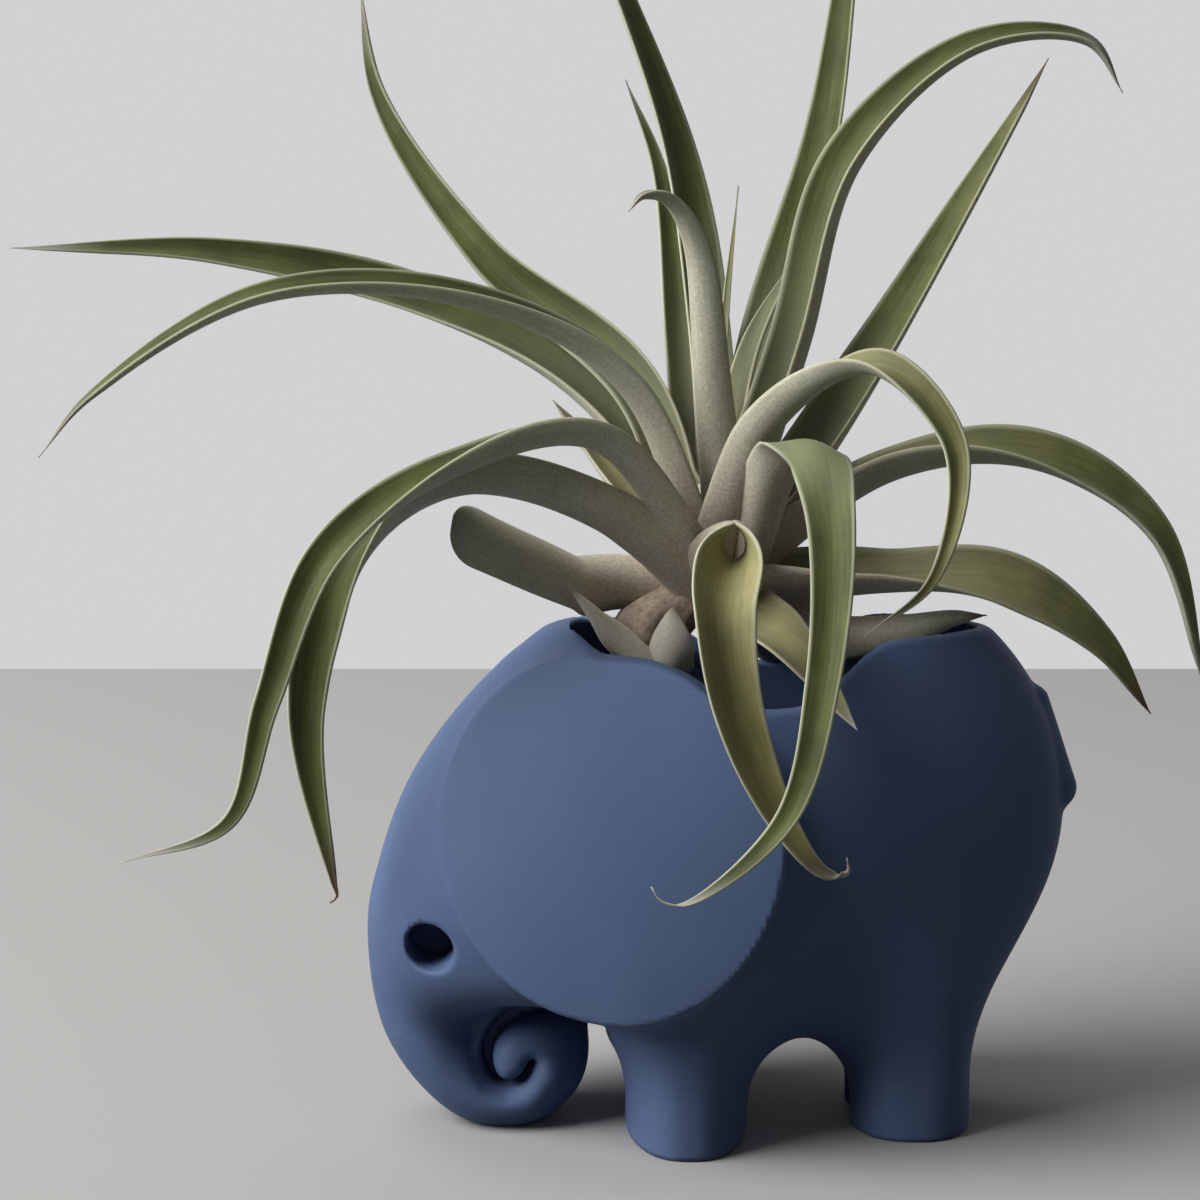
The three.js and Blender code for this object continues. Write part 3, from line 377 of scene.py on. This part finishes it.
def rim_height(x, z):
    """Field of what is above the rim, which is level but for the shelf in front, eased in at its front end,
    and the saddle, a dip of exp(-|share| ** 3). It is divided by the length of its slope."""
    share = (x - SADDLE_X) / SADDLE_HALF_LENGTH
    saddle = np.exp(-np.abs(share) ** 3)
    slope = 3 * share ** 2 * saddle * SADDLE_DEPTH / SADDLE_HALF_LENGTH
    ease = np.clip((x - SHELF_X) / SHELF_EASE, 0, 1)
    shelf = np.where(x < SADDLE_X, SHELF_DEPTH * ease * ease * (3 - 2 * ease), 0)
    return (z - RIM_Z + SADDLE_DEPTH * saddle + shelf * (1 - saddle)) / np.hypot(1, slope)


def pot_hollow(x, y, z):
    """The torso less its wall, above the pot's floor and within a mouth that widens as it goes down."""
    hollow = torso(x, y, np.minimum(z, RIM_Z - MOUTH_DEPTH)) + WALL
    mouth = oval([x - RUMP_X, y * narrowing(x)], [MOUTH_HALF_LENGTH, MOUTH_HALF_WIDTH], 2)
    mouth_front = np.hypot(x - MOUTH_FRONT_X, y) - MOUTH_FRONT_RADIUS
    mouth = smooth_min(mouth, mouth_front, MOUTH_FRONT_BLEND) - np.maximum(RIM_Z - z, 0)
    return smooth_max(smooth_max(hollow, mouth, MOUTH_ROUNDING), POT_FLOOR_Z - z, POT_FLOOR_ROUNDING)


def planter_field(x, y, z):
    """The whole planter: the outside, with what is above the rim, the pot, the eyes, the groove and the
    ground cut from it."""
    body = smooth_max(outside(x, y, z), rim_height(x, z), RIM_ROUNDING)
    body = smooth_max(body, -pot_hollow(x, y, z), RIM_ROUNDING)
    eye = np.maximum(np.hypot(x - EYE_X, z - EYE_Z) - EYE_RADIUS, EYE_BOTTOM_Y - np.abs(y))
    body = smooth_max(body, -eye, EYE_ROUNDING)
    body = smooth_max(body, -curl_groove(x, y, z), CURL_GROOVE_ROUNDING)
    return smooth_max(body, -z, SOLE_ROUNDING)


# Skin of a field, found on a grid

def grid_edges(value, axis):
    """Values of a field at both ends of each grid edge along an axis, and whether the skin crosses it."""
    low_end, high_end = np.delete(value, -1, axis), np.delete(value, 0, axis)
    return low_end, high_end, (low_end < 0) != (high_end < 0)


def skin_points(value, axes, cell):
    """One point for each grid cell that the skin crosses, the mean of the crossings on the cell's edges, and
    the number of each cell's point."""
    cells = tuple(n - 1 for n in value.shape)
    total, crossings = np.zeros(cells + (3,)), np.zeros(cells)
    for axis in range(3):
        u, v = (axis + 1) % 3, (axis + 2) % 3
        low_end, high_end, crossed = grid_edges(value, axis)
        share = np.where(crossed, low_end / np.where(crossed, low_end - high_end, 1), 0)
        for du, dv in ((0, 0), (0, 1), (1, 0), (1, 1)):
            part = [slice(None)] * 3
            part[u], part[v] = slice(du, du + cells[u]), slice(dv, dv + cells[v])
            hit = crossed[tuple(part)]
            total[..., axis] += hit * share[tuple(part)] * cell
            total[..., u] += hit * du * cell
            total[..., v] += hit * dv * cell
            crossings += hit
    used = crossings > 0
    corner = np.stack(np.meshgrid(*[a[:-1] for a in axes], indexing="ij"), -1)
    points = (corner + total / np.maximum(crossings, 1)[..., None])[used]
    number = np.full(cells, -1)
    number[used] = np.arange(len(points))
    return points, number


def skin_faces(value, number):
    """One face for each grid edge that the skin crosses, through the points of the four cells round the edge,
    turned to face away from the inside."""
    quads = []
    for axis in range(3):
        u, v = (axis + 1) % 3, (axis + 2) % 3
        low_end, _, crossed = grid_edges(value, axis)
        place = np.argwhere(crossed)
        sides = place[:, [u, v]]
        place = place[((sides > 0) & (sides < [number.shape[u], number.shape[v]])).all(1)]
        ring = []
        for du, dv in ((-1, -1), (0, -1), (0, 0), (-1, 0)):
            other = place.copy()
            other[:, u] += du
            other[:, v] += dv
            ring.append(number[tuple(other.T)])
        ring = np.stack(ring, 1)
        leaving = low_end[tuple(place.T)] < 0
        quads.append(np.where(leaving[:, None], ring, ring[:, ::-1]))
    return np.vstack(quads)


def field_slope(field, points):
    """Slope of a field at points by central differences, and its value there."""
    steps = SLOPE_STEP * np.eye(3)
    slope = [(field(*(points + step).T) - field(*(points - step).T)) / (2 * SLOPE_STEP) for step in steps]
    return np.stack(slope, 1), field(*points.T)


def field_skin(field, low, high, cell):
    """Skin of a field: the points and faces found on a grid, with each point pulled onto the skin along the
    field's slope, and the direction of the slope there."""
    axes = [np.arange(a, b, cell) for a, b in zip(low, high)]
    value = field(*np.meshgrid(*axes, indexing="ij"))
    points, number = skin_points(value, axes, cell)
    for _ in range(SKIN_PULLS):
        slope, here = field_slope(field, points)
        length = np.maximum(np.linalg.norm(slope, axis=1), 1e-6)
        step = np.clip(here / length, -cell / 2, cell / 2)
        points = points - slope / length[:, None] * step[:, None]
    slope, _ = field_slope(field, points)
    return points, skin_faces(value, number), slope / np.linalg.norm(slope, axis=1)[:, None]


# Meshes

def new_piece(name, points, faces, material, body, node):
    """A mesh object at the origin with its points in metres, riding on a body in place of a node."""
    mesh = bpy.data.meshes.new(name)
    mesh.from_pydata(np.asarray(points) * MM, [], faces)
    mesh.validate()
    mesh.polygons.foreach_set("use_smooth", np.ones(len(mesh.polygons), bool))
    piece = bpy.data.objects.new(name, mesh)
    bpy.context.collection.objects.link(piece)
    mesh.materials.append(material)
    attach(piece, body)
    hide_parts(node)
    return piece


def add_values(piece, name, values):
    """Store one number for each point of a piece, for its material to read."""
    attribute = piece.data.attributes.new(name, "FLOAT", "POINT")
    attribute.data.foreach_set("value", np.ravel(values).astype(np.float32))


def blade_line(route):
    """Points at even distances on the smooth curve through the route, their distances from its start, and
    the curve's direction at each."""
    fine = spline(route, LEAF_ROUTE_STEPS)
    lengths = np.concatenate([[0], np.cumsum(np.linalg.norm(np.diff(fine, axis=0), axis=1))])
    distance = np.linspace(0, 1, LEAF_RINGS) * lengths[-1]
    line = np.stack([np.interp(distance, lengths, fine[:, k]) for k in range(3)], 1)
    tangent = np.gradient(line, axis=0)
    return line, distance, tangent / np.linalg.norm(tangent, axis=1)[:, None]


def blade_turn(leaf, line, tangent, distance, phase):
    """Directions sideways and inward at each point of the blade's line: level across the way that the leaf
    heads, then turned about the line by the roll, which eases from its first value to its last."""
    t = distance / distance[-1]
    reach = (line - line[0])[:, :2]
    heading = reach[np.argmax(np.linalg.norm(reach, axis=1))]
    across = np.array([-heading[1], heading[0], 0]) / np.linalg.norm(heading)
    side = across - (tangent @ across)[:, None] * tangent
    side /= np.linalg.norm(side, axis=1)[:, None]
    inward = np.cross(tangent, side)
    first, last = leaf["roll"]
    turn = np.clip((t - ROLL_TURN_START) / ROLL_TURN_LENGTH, 0, 1)
    turn = turn * turn * (3 - 2 * turn)
    waver = ROLL_WAVER * np.sin(ROLL_WAVER_PACE * t + phase) * t
    roll = np.radians(first * np.minimum(distance / BASE_REACH, 1) + (last - first) * turn + waver)[:, None]
    return side * np.cos(roll) + inward * np.sin(roll), inward * np.cos(roll) - side * np.sin(roll)


def blade_section(leaf, distance, phase):
    """Half the length of the section and its wrap angle at each point of the blade's line. The length swells
    at the base, tapers by a power to the tip and wavers; a blunt tip closes as a quarter of an oval."""
    t = distance / distance[-1]
    base = np.exp(-((distance / min(BASE_REACH, distance[-1] / 4)) ** 2))
    near, far = np.radians(leaf["wrap"])
    wrap = near + (far - near) * t + np.maximum(BASE_WRAP - near, 0) * base
    if "pinch" in leaf:
        place, amount = leaf["pinch"]
        wrap = wrap + math.radians(amount) * np.exp(-(((t - place) / PINCH_LENGTH) ** 2))
    taper = 1 - np.maximum((t - TAPER_START) / (1 - TAPER_START), 0) ** leaf.get("taper", TAPER_POWER)
    waver = 1 + WIDTH_WAVER * np.sin(WIDTH_WAVER_PACE * t + 2 * phase)
    half = leaf["width"] / 2 * taper * (1 + BASE_SWELL * base) * waver
    half = np.maximum(half * near / math.sin(near), leaf.get("blunt", LEAST_HALF_WIDTH))
    if "blunt" in leaf:
        closing = np.clip((t - BLUNT_START) / (1 - BLUNT_START), 0, 1)
        half = half * np.sqrt(1 - BLUNT_CLOSING * closing ** 2)
    return half, wrap


def leaf_surface(leaf, number):
    """Closed blade: a channel section carried along the smooth curve through the route. The section's
    direction turns from minus to plus the wrap angle from margin to margin, most quickly at the midrib, and
    its length is kept while the wrap changes. The channel's open side faces the plant's axis at the base and
    turns outward where the leaf bends over; roll turns it about the curve."""
    phase = WAVER_PHASE * number
    line, distance, tangent = blade_line(leaf["route"])
    side, inward = blade_turn(leaf, line, tangent, distance, phase)
    half, wrap = blade_section(leaf, distance, phase)

    s = np.linspace(-1, 1, LEAF_SIDES)
    angle = wrap[:, None] * s * (1 + LEAF_FOLD) / (1 + LEAF_FOLD * np.abs(s))
    step = half[:, None] * 2 / (LEAF_SIDES - 1)
    middle = LEAF_SIDES // 2
    places = []
    for part in (np.cos(angle), np.sin(angle)):
        total = np.cumsum((part[:, 1:] + part[:, :-1]) / 2 * step, axis=1)
        total = np.concatenate([np.zeros((LEAF_RINGS, 1)), total], axis=1)
        places.append(total - total[:, middle:middle + 1])
    thick = np.minimum(LEAF_THICKNESS, LEAF_THICKEST_SHARE * half)[:, None]
    thick = thick * (1 - (1 - LEAF_EDGE_SHARE) * s ** 2) / 2
    shift, rise = thick * np.sin(angle), thick * np.cos(angle)
    sideways = np.concatenate([places[0] + shift, (places[0] - shift)[:, ::-1]], 1)
    lift = np.concatenate([places[1] - rise, (places[1] + rise)[:, ::-1]], 1)
    points = line[:, None] + side[:, None] * sideways[..., None] + inward[:, None] * lift[..., None]

    around = np.concatenate([s, s[::-1]])
    values = dict(
        inner=np.repeat([0.0, 1.0], LEAF_SIDES), across=around * half[:, None], margin=np.abs(around),
        along=(distance / distance[-1])[:, None], distance=distance[:, None],
        tint=leaf["tint"], dry=leaf["dry"])
    values = {key: np.broadcast_to(value, points.shape[:2]) for key, value in values.items()}
    return points + [0, 0, RIM_Z], values


def tube_faces(rings, sides):
    """Quads between the neighbouring rings of a tube whose points are numbered ring by ring."""
    ring, side = np.meshgrid(np.arange(rings - 1), np.arange(sides), indexing="ij")
    a = ring * sides + side
    b = ring * sides + (side + 1) % sides
    return np.stack([a, b, b + sides, a + sides], -1).reshape(-1, 4)


def blade_caps(rings, sides):
    """Quads that close both ends of a blade, each from its outer face to the facing place on its inner."""
    k = np.arange(sides // 2 - 1)
    cap = np.stack([k, k + 1, sides - 2 - k, sides - 1 - k], -1)
    return np.vstack([cap[:, ::-1], cap + (rings - 1) * sides])


def make_leaf(name, leaf, number, material):
    """One leaf or sheath as a blade, with the values that its material reads."""
    points, values = leaf_surface(leaf, number)
    rings, sides = points.shape[:2]
    faces = np.vstack([tube_faces(rings, sides), blade_caps(rings, sides)]).tolist()
    piece = new_piece(name + "_blade", points.reshape(-1, 3), faces, material, "air_plant", name)
    for key, value in values.items():
        add_values(piece, key, value)


# Materials

class Nodes:
    """A material's node tree with short calls to add and join nodes."""

    def __init__(self, name):
        self.material = bpy.data.materials.new(name)
        self.material.use_nodes = True
        self.tree = self.material.node_tree
        self.shader = self.tree.nodes["Principled BSDF"]

    def add(self, kind, **settings):
        node = self.tree.nodes.new(kind)
        for key, value in settings.items():
            setattr(node, key, value)
        return node

    def join(self, source, target):
        self.tree.links.new(source, target)

    def set(self, socket, value):
        """Join another node's output to a socket, or give the socket a constant."""
        if isinstance(value, bpy.types.NodeSocket):
            self.join(value, socket)
        else:
            socket.default_value = value

    def math(self, operation, a, b=0.0, c=0.0):
        node = self.add("ShaderNodeMath", operation=operation)
        for socket, value in zip(node.inputs, (a, b, c)):
            self.set(socket, value)
        return node.outputs[0]

    def mix(self, factor, a, b):
        """Colour between two others."""
        node = self.add("ShaderNodeMix", data_type="RGBA")
        for socket, value in ((node.inputs[0], factor), (node.inputs[6], a), (node.inputs[7], b)):
            self.set(socket, value)
        return node.outputs[2]

    def weigh(self, a, share, b, other):
        """Sum of two values, each times its share."""
        return self.math("MULTIPLY_ADD", a, share, self.math("MULTIPLY", b, other))

    def ramp(self, value, low, high):
        """Smooth rise from 0 at the low value to 1 at the high one."""
        node = self.add("ShaderNodeMapRange", interpolation_type="SMOOTHSTEP")
        self.set(node.inputs[0], value)
        node.inputs[1].default_value, node.inputs[2].default_value = low, high
        return node.outputs[0]

    def noise(self, place, scale, detail=4.0, roughness=0.55):
        node = self.add("ShaderNodeTexNoise")
        self.join(place, node.inputs["Vector"])
        node.inputs["Scale"].default_value = scale
        node.inputs["Detail"].default_value = detail
        node.inputs["Roughness"].default_value = roughness
        return node.outputs["Fac"]

    def value(self, name):
        """What the piece stores for each of its points under a name."""
        return self.add("ShaderNodeAttribute", attribute_name=name).outputs["Fac"]

    def finish(self, colour, sockets):
        """Join the base colour and set the shader's other sockets."""
        self.join(colour, self.shader.inputs["Base Color"])
        for name, value in sockets.items():
            self.shader.inputs[name].default_value = value

    def bump(self, height, strength, distance):
        node = self.add("ShaderNodeBump")
        node.inputs["Strength"].default_value = strength
        node.inputs["Distance"].default_value = distance
        self.join(height, node.inputs["Height"])
        self.join(node.outputs[0], self.shader.inputs["Normal"])


def srgb(red, green, blue):
    """Linear colour from the 0 to 255 values that a colour picker shows."""
    values = [v / 255 for v in (red, green, blue)]
    return [v / 12.92 if v <= 0.04045 else ((v + 0.055) / 1.055) ** 2.4 for v in values] + [1.0]


def shades(colours):
    """Linear colours of a finish's shades."""
    return [srgb(*colour) for colour in colours]


def printed_plastic():
    """Matte slate-blue plastic laid in thin level layers, with a faint change of tone from layer to layer."""
    n = Nodes("slate_plastic")
    place = n.add("ShaderNodeTexCoord").outputs["Object"]
    split = n.add("ShaderNodeSeparateXYZ")
    n.join(place, split.inputs[0])
    level = n.math("MULTIPLY", split.outputs[2], 1 / (LAYER_HEIGHT * MM))
    cloud = n.noise(place, scale=60.0, detail=3.0)
    wave = n.math("SINE", n.math("MULTIPLY_ADD", level, 2 * math.pi, n.math("MULTIPLY", cloud, 1.5)))
    layer = n.add("ShaderNodeTexNoise", noise_dimensions="1D")
    n.join(level, layer.inputs["W"])
    layer.inputs["Scale"].default_value = 0.5
    tone = n.ramp(n.weigh(layer.outputs["Fac"], 0.5, cloud, 0.5), 0.25, 0.75)
    n.finish(n.mix(tone, *shades(PLASTIC)), {"Roughness": 0.6, "Specular IOR Level": 0.22})
    n.bump(wave, strength=0.15, distance=LAYER_GROOVE * MM)
    return n.material


def leaf_skin(name, colours):
    """Leaf: scurfy grey-green outside, dark inside that ripens to straw with the tint, thin pale margins that
    are partly a painted highlight along the edges, a dull lilac base that is kept mostly off the inner faces
    as painted shade in the hollow of the channel, and a tip that goes from silver to brown with dryness,
    finely streaked along the blade."""
    outer, inner, ripe, base = (shades(colours[part]) for part in ("outer", "inner", "ripe", "base"))
    n = Nodes(name)
    across, distance, along, tint = (n.value(key) for key in ("across", "distance", "along", "tint"))
    inner_face = n.value("inner")

    # Grain: streaks along the blade, fine scurf and broad patches
    place = n.add("ShaderNodeCombineXYZ")
    n.join(across, place.inputs[0])
    n.join(n.math("MULTIPLY", distance, 0.05), place.inputs[1])
    n.join(n.math("MULTIPLY_ADD", tint, 40.0, inner_face), place.inputs[2])
    streak = n.noise(place.outputs[0], scale=2.0, detail=5.0, roughness=0.6)
    solid = n.add("ShaderNodeTexCoord").outputs["Object"]
    scurf = n.noise(solid, scale=2400.0, detail=4.0, roughness=0.7)
    patch = n.noise(solid, scale=90.0, detail=3.0)
    grain = n.weigh(streak, 0.5, patch, 0.5)

    # Both faces of the blade, the inner one paler where it is young and yellower where it is ripe
    outside = n.mix(n.ramp(n.weigh(scurf, 0.5, grain, 0.5), 0.36, 0.64), *outer)
    inside = n.mix(n.ramp(grain, 0.3, 0.7), *inner)
    old = n.ramp(n.math("MULTIPLY_ADD", patch, 10.0, distance), 28.0, 62.0)
    young = n.math("SUBTRACT", 1.0, old)
    inside = n.mix(n.math("MULTIPLY", young, 0.35), inside, outer[0])
    ripeness = n.ramp(n.math("MULTIPLY_ADD", patch, 0.5, tint), 0.4, 1.3)
    straw = n.mix(n.ramp(grain, 0.3, 0.7), *ripe)
    inside = n.mix(n.math("MULTIPLY", ripeness, 0.9), inside, straw)
    blade = n.mix(n.ramp(inner_face, 0.4, 0.6), outside, inside)

    # Margins, partly a painted highlight; base, kept off the inner faces as painted shade; and tip
    # Pale rim along both margins: partly the leaf's own colour, partly a painted highlight where light
    # catches the edges
    edge = n.ramp(n.math("MULTIPLY_ADD", grain, 0.06, n.value("margin")), 0.86, 1.02)
    blade = n.mix(n.math("MULTIPLY", edge, 0.55), blade, *shades(colours["margin"]))
    above = n.ramp(n.math("MULTIPLY_ADD", patch, 16.0, distance), 10.0, 44.0)
    foot = n.math("SUBTRACT", 1.0, above)
    # The pale base colour is kept mostly off the inner faces, so the hollow at the foot of each channel stays
    # dark: painted shade
    foot = n.math("MULTIPLY", foot, n.math("MULTIPLY_ADD", inner_face, -0.75, 0.85))
    blade = n.mix(foot, blade, n.mix(n.ramp(scurf, 0.3, 0.7), *base))
    dryness = n.ramp(n.math("MULTIPLY_ADD", grain, 0.05, along), 0.9, 1.02)
    blade = n.mix(dryness, blade, n.mix(n.value("dry"), *shades(colours["tip"])))

    n.finish(blade, {
        "Roughness": 0.62, "Specular IOR Level": 0.3, "Sheen Weight": 0.1, "Sheen Roughness": 0.5,
        "Subsurface Weight": 0.2, "Subsurface Radius": (1.0, 1.0, 0.4), "Subsurface Scale": 1.0 * MM,
    })
    n.bump(n.weigh(streak, 0.6, scurf, 0.7), strength=0.35, distance=0.15 * MM)
    return n.material


def stem_bark():
    """Scurfy brown stem wrapped in old leaf bases."""
    n = Nodes("stem")
    place = n.add("ShaderNodeTexCoord").outputs["Object"]
    coarse, fine = n.noise(place, scale=260.0), n.noise(place, scale=1200.0)
    tone = n.ramp(n.weigh(coarse, 0.6, fine, 0.4), 0.35, 0.65)
    n.finish(n.mix(tone, *shades(STEM)), {"Roughness": 0.85})
    n.bump(n.math("ADD", coarse, fine), strength=0.6, distance=0.3 * MM)
    return n.material


# Pieces

def make_planter():
    """The planter: the skin of its field, smoothly shaded by the field's slope."""
    points, quads, normals = field_skin(planter_field, SKIN_LOW, SKIN_HIGH, SKIN_CELL)
    piece = new_piece("planter_body", points, quads.tolist(), printed_plastic(), "planter",
                      "planter_shell")
    piece.data.normals_split_custom_set_from_vertices(normals.astype(np.float32))


def make_stem():
    """Stem: a round section, pinched into ribs that wind round it, carried along a curve that leans over from
    the foot in the pot up to the crown."""
    path = spline(STEM_ROUTE, STEM_RINGS)
    heights, angles = np.linspace(0, 1, STEM_RINGS), np.linspace(0, 2 * math.pi, STEM_SIDES, endpoint=False)
    height, angle = np.meshgrid(heights, angles, indexing="ij")
    scar = 1 + SCAR_DEPTH * np.sin(SCAR_COUNT * height + SCAR_TWIST * angle)
    rib = 1 - RIB_DEPTH * (1 + np.sin(RIB_COUNT * angle + RIB_TWIST * height)) * scar
    radius = path[:, 3:] * rib
    outward = np.stack([radius * np.cos(angle), radius * np.sin(angle), np.full(angle.shape, RIM_Z)], -1)
    points = path[:, None, :3] + outward
    foot, crown = np.arange(STEM_SIDES)[::-1], np.arange(STEM_SIDES) + (STEM_RINGS - 1) * STEM_SIDES
    faces = tube_faces(STEM_RINGS, STEM_SIDES).tolist() + [foot.tolist(), crown.tolist()]
    new_piece("stem_core", points.reshape(-1, 3), faces, stem_bark(), "air_plant", "plant_stem")


def make_plant():
    """The air plant: its leaves, its dried sheaths and its stem."""
    blade, dry = leaf_skin("leaf", LEAF), leaf_skin("sheath", SHEATH)
    for number, (name, leaf) in enumerate(LEAVES.items()):
        dried = name.startswith("sheath")
        make_leaf(name, leaf, number, dry if dried else blade)
    make_stem()


# Floor, light and camera

def seen_rays(tree):
    """One for the rays that show a surface in the picture, straight, in a reflection or through glass."""
    path = tree.nodes.new("ShaderNodeLightPath").outputs
    seen = path["Is Camera Ray"]
    for ray in ("Is Glossy Ray", "Is Transmission Ray"):
        both = tree.nodes.new("ShaderNodeMath")
        both.operation = "MAXIMUM"
        tree.links.new(seen, both.inputs[0])
        tree.links.new(path[ray], both.inputs[1])
        seen = both.outputs[0]
    return seen


def pale_table():
    """Plain table top that looks pale in the picture and throws less light back at the object."""
    n = Nodes("pale_table")
    n.finish(n.mix(seen_rays(n.tree), *shades((TABLE_UNSEEN, TABLE_SEEN))), {"Roughness": 0.8})
    return n.material


def make_table():
    """A level table top, one face, whose far edge is the line behind the object."""
    left, right = -TABLE_HALF_WIDTH, TABLE_HALF_WIDTH
    corners = [(left, TABLE_FRONT, 0), (right, TABLE_FRONT, 0), (right, TABLE_BACK, 0), (left, TABLE_BACK, 0)]
    mesh = bpy.data.meshes.new("table")
    mesh.from_pydata(corners, [], [(0, 1, 2, 3)])
    mesh.materials.append(pale_table())
    table = bpy.data.objects.new("table", mesh)
    bpy.context.collection.objects.link(table)


def add_lamp(name, place, aim, size, power, colour):
    """A round soft lamp turned from its place toward its aim."""
    data = bpy.data.lights.new(name, "AREA")
    data.shape, data.size, data.energy, data.color = "DISK", size, power, colour
    lamp = bpy.data.objects.new(name, data)
    bpy.context.collection.objects.link(lamp)
    x, y, z = np.array(aim) - np.array(place)
    lamp.location = place
    lamp.rotation_euler = (math.pi / 2 + math.atan2(z, math.hypot(x, y)), 0, math.atan2(-x, y))


def make_light():
    """A large window at the left, a weak ceiling, and a world that is pale where it is seen but dim."""
    add_lamp("window", **WINDOW)
    add_lamp("ceiling", **CEILING)
    world = bpy.data.worlds.new("studio")
    world.use_nodes = True
    tree = world.node_tree
    background = tree.nodes["Background"]
    background.inputs[0].default_value = WORLD_COLOUR
    strength = tree.nodes.new("ShaderNodeMath")
    strength.operation = "MULTIPLY_ADD"
    tree.links.new(seen_rays(tree), strength.inputs[0])
    strength.inputs[1].default_value, strength.inputs[2].default_value = WORLD_SEEN, WORLD_LIGHT
    tree.links.new(strength.outputs[0], background.inputs[1])
    bpy.context.scene.world = world


def make_camera():
    """The camera, level but for its tilt down, square to the elephant's side."""
    data = bpy.data.cameras.new("camera")
    data.lens, data.sensor_width = CAMERA_LENS, CAMERA_FILM
    data.clip_start, data.clip_end = CAMERA_NEAR, CAMERA_FAR
    camera = bpy.data.objects.new("camera", data)
    bpy.context.collection.objects.link(camera)
    camera.location = [v * MM for v in CAMERA_PLACE]
    camera.rotation_euler = (math.pi / 2 - CAMERA_TILT, 0, 0)
    bpy.context.scene.camera = camera


make_camera()
make_light()
make_table()
make_planter()
make_plant()
bpy.context.scene.view_settings.view_transform = "Standard"
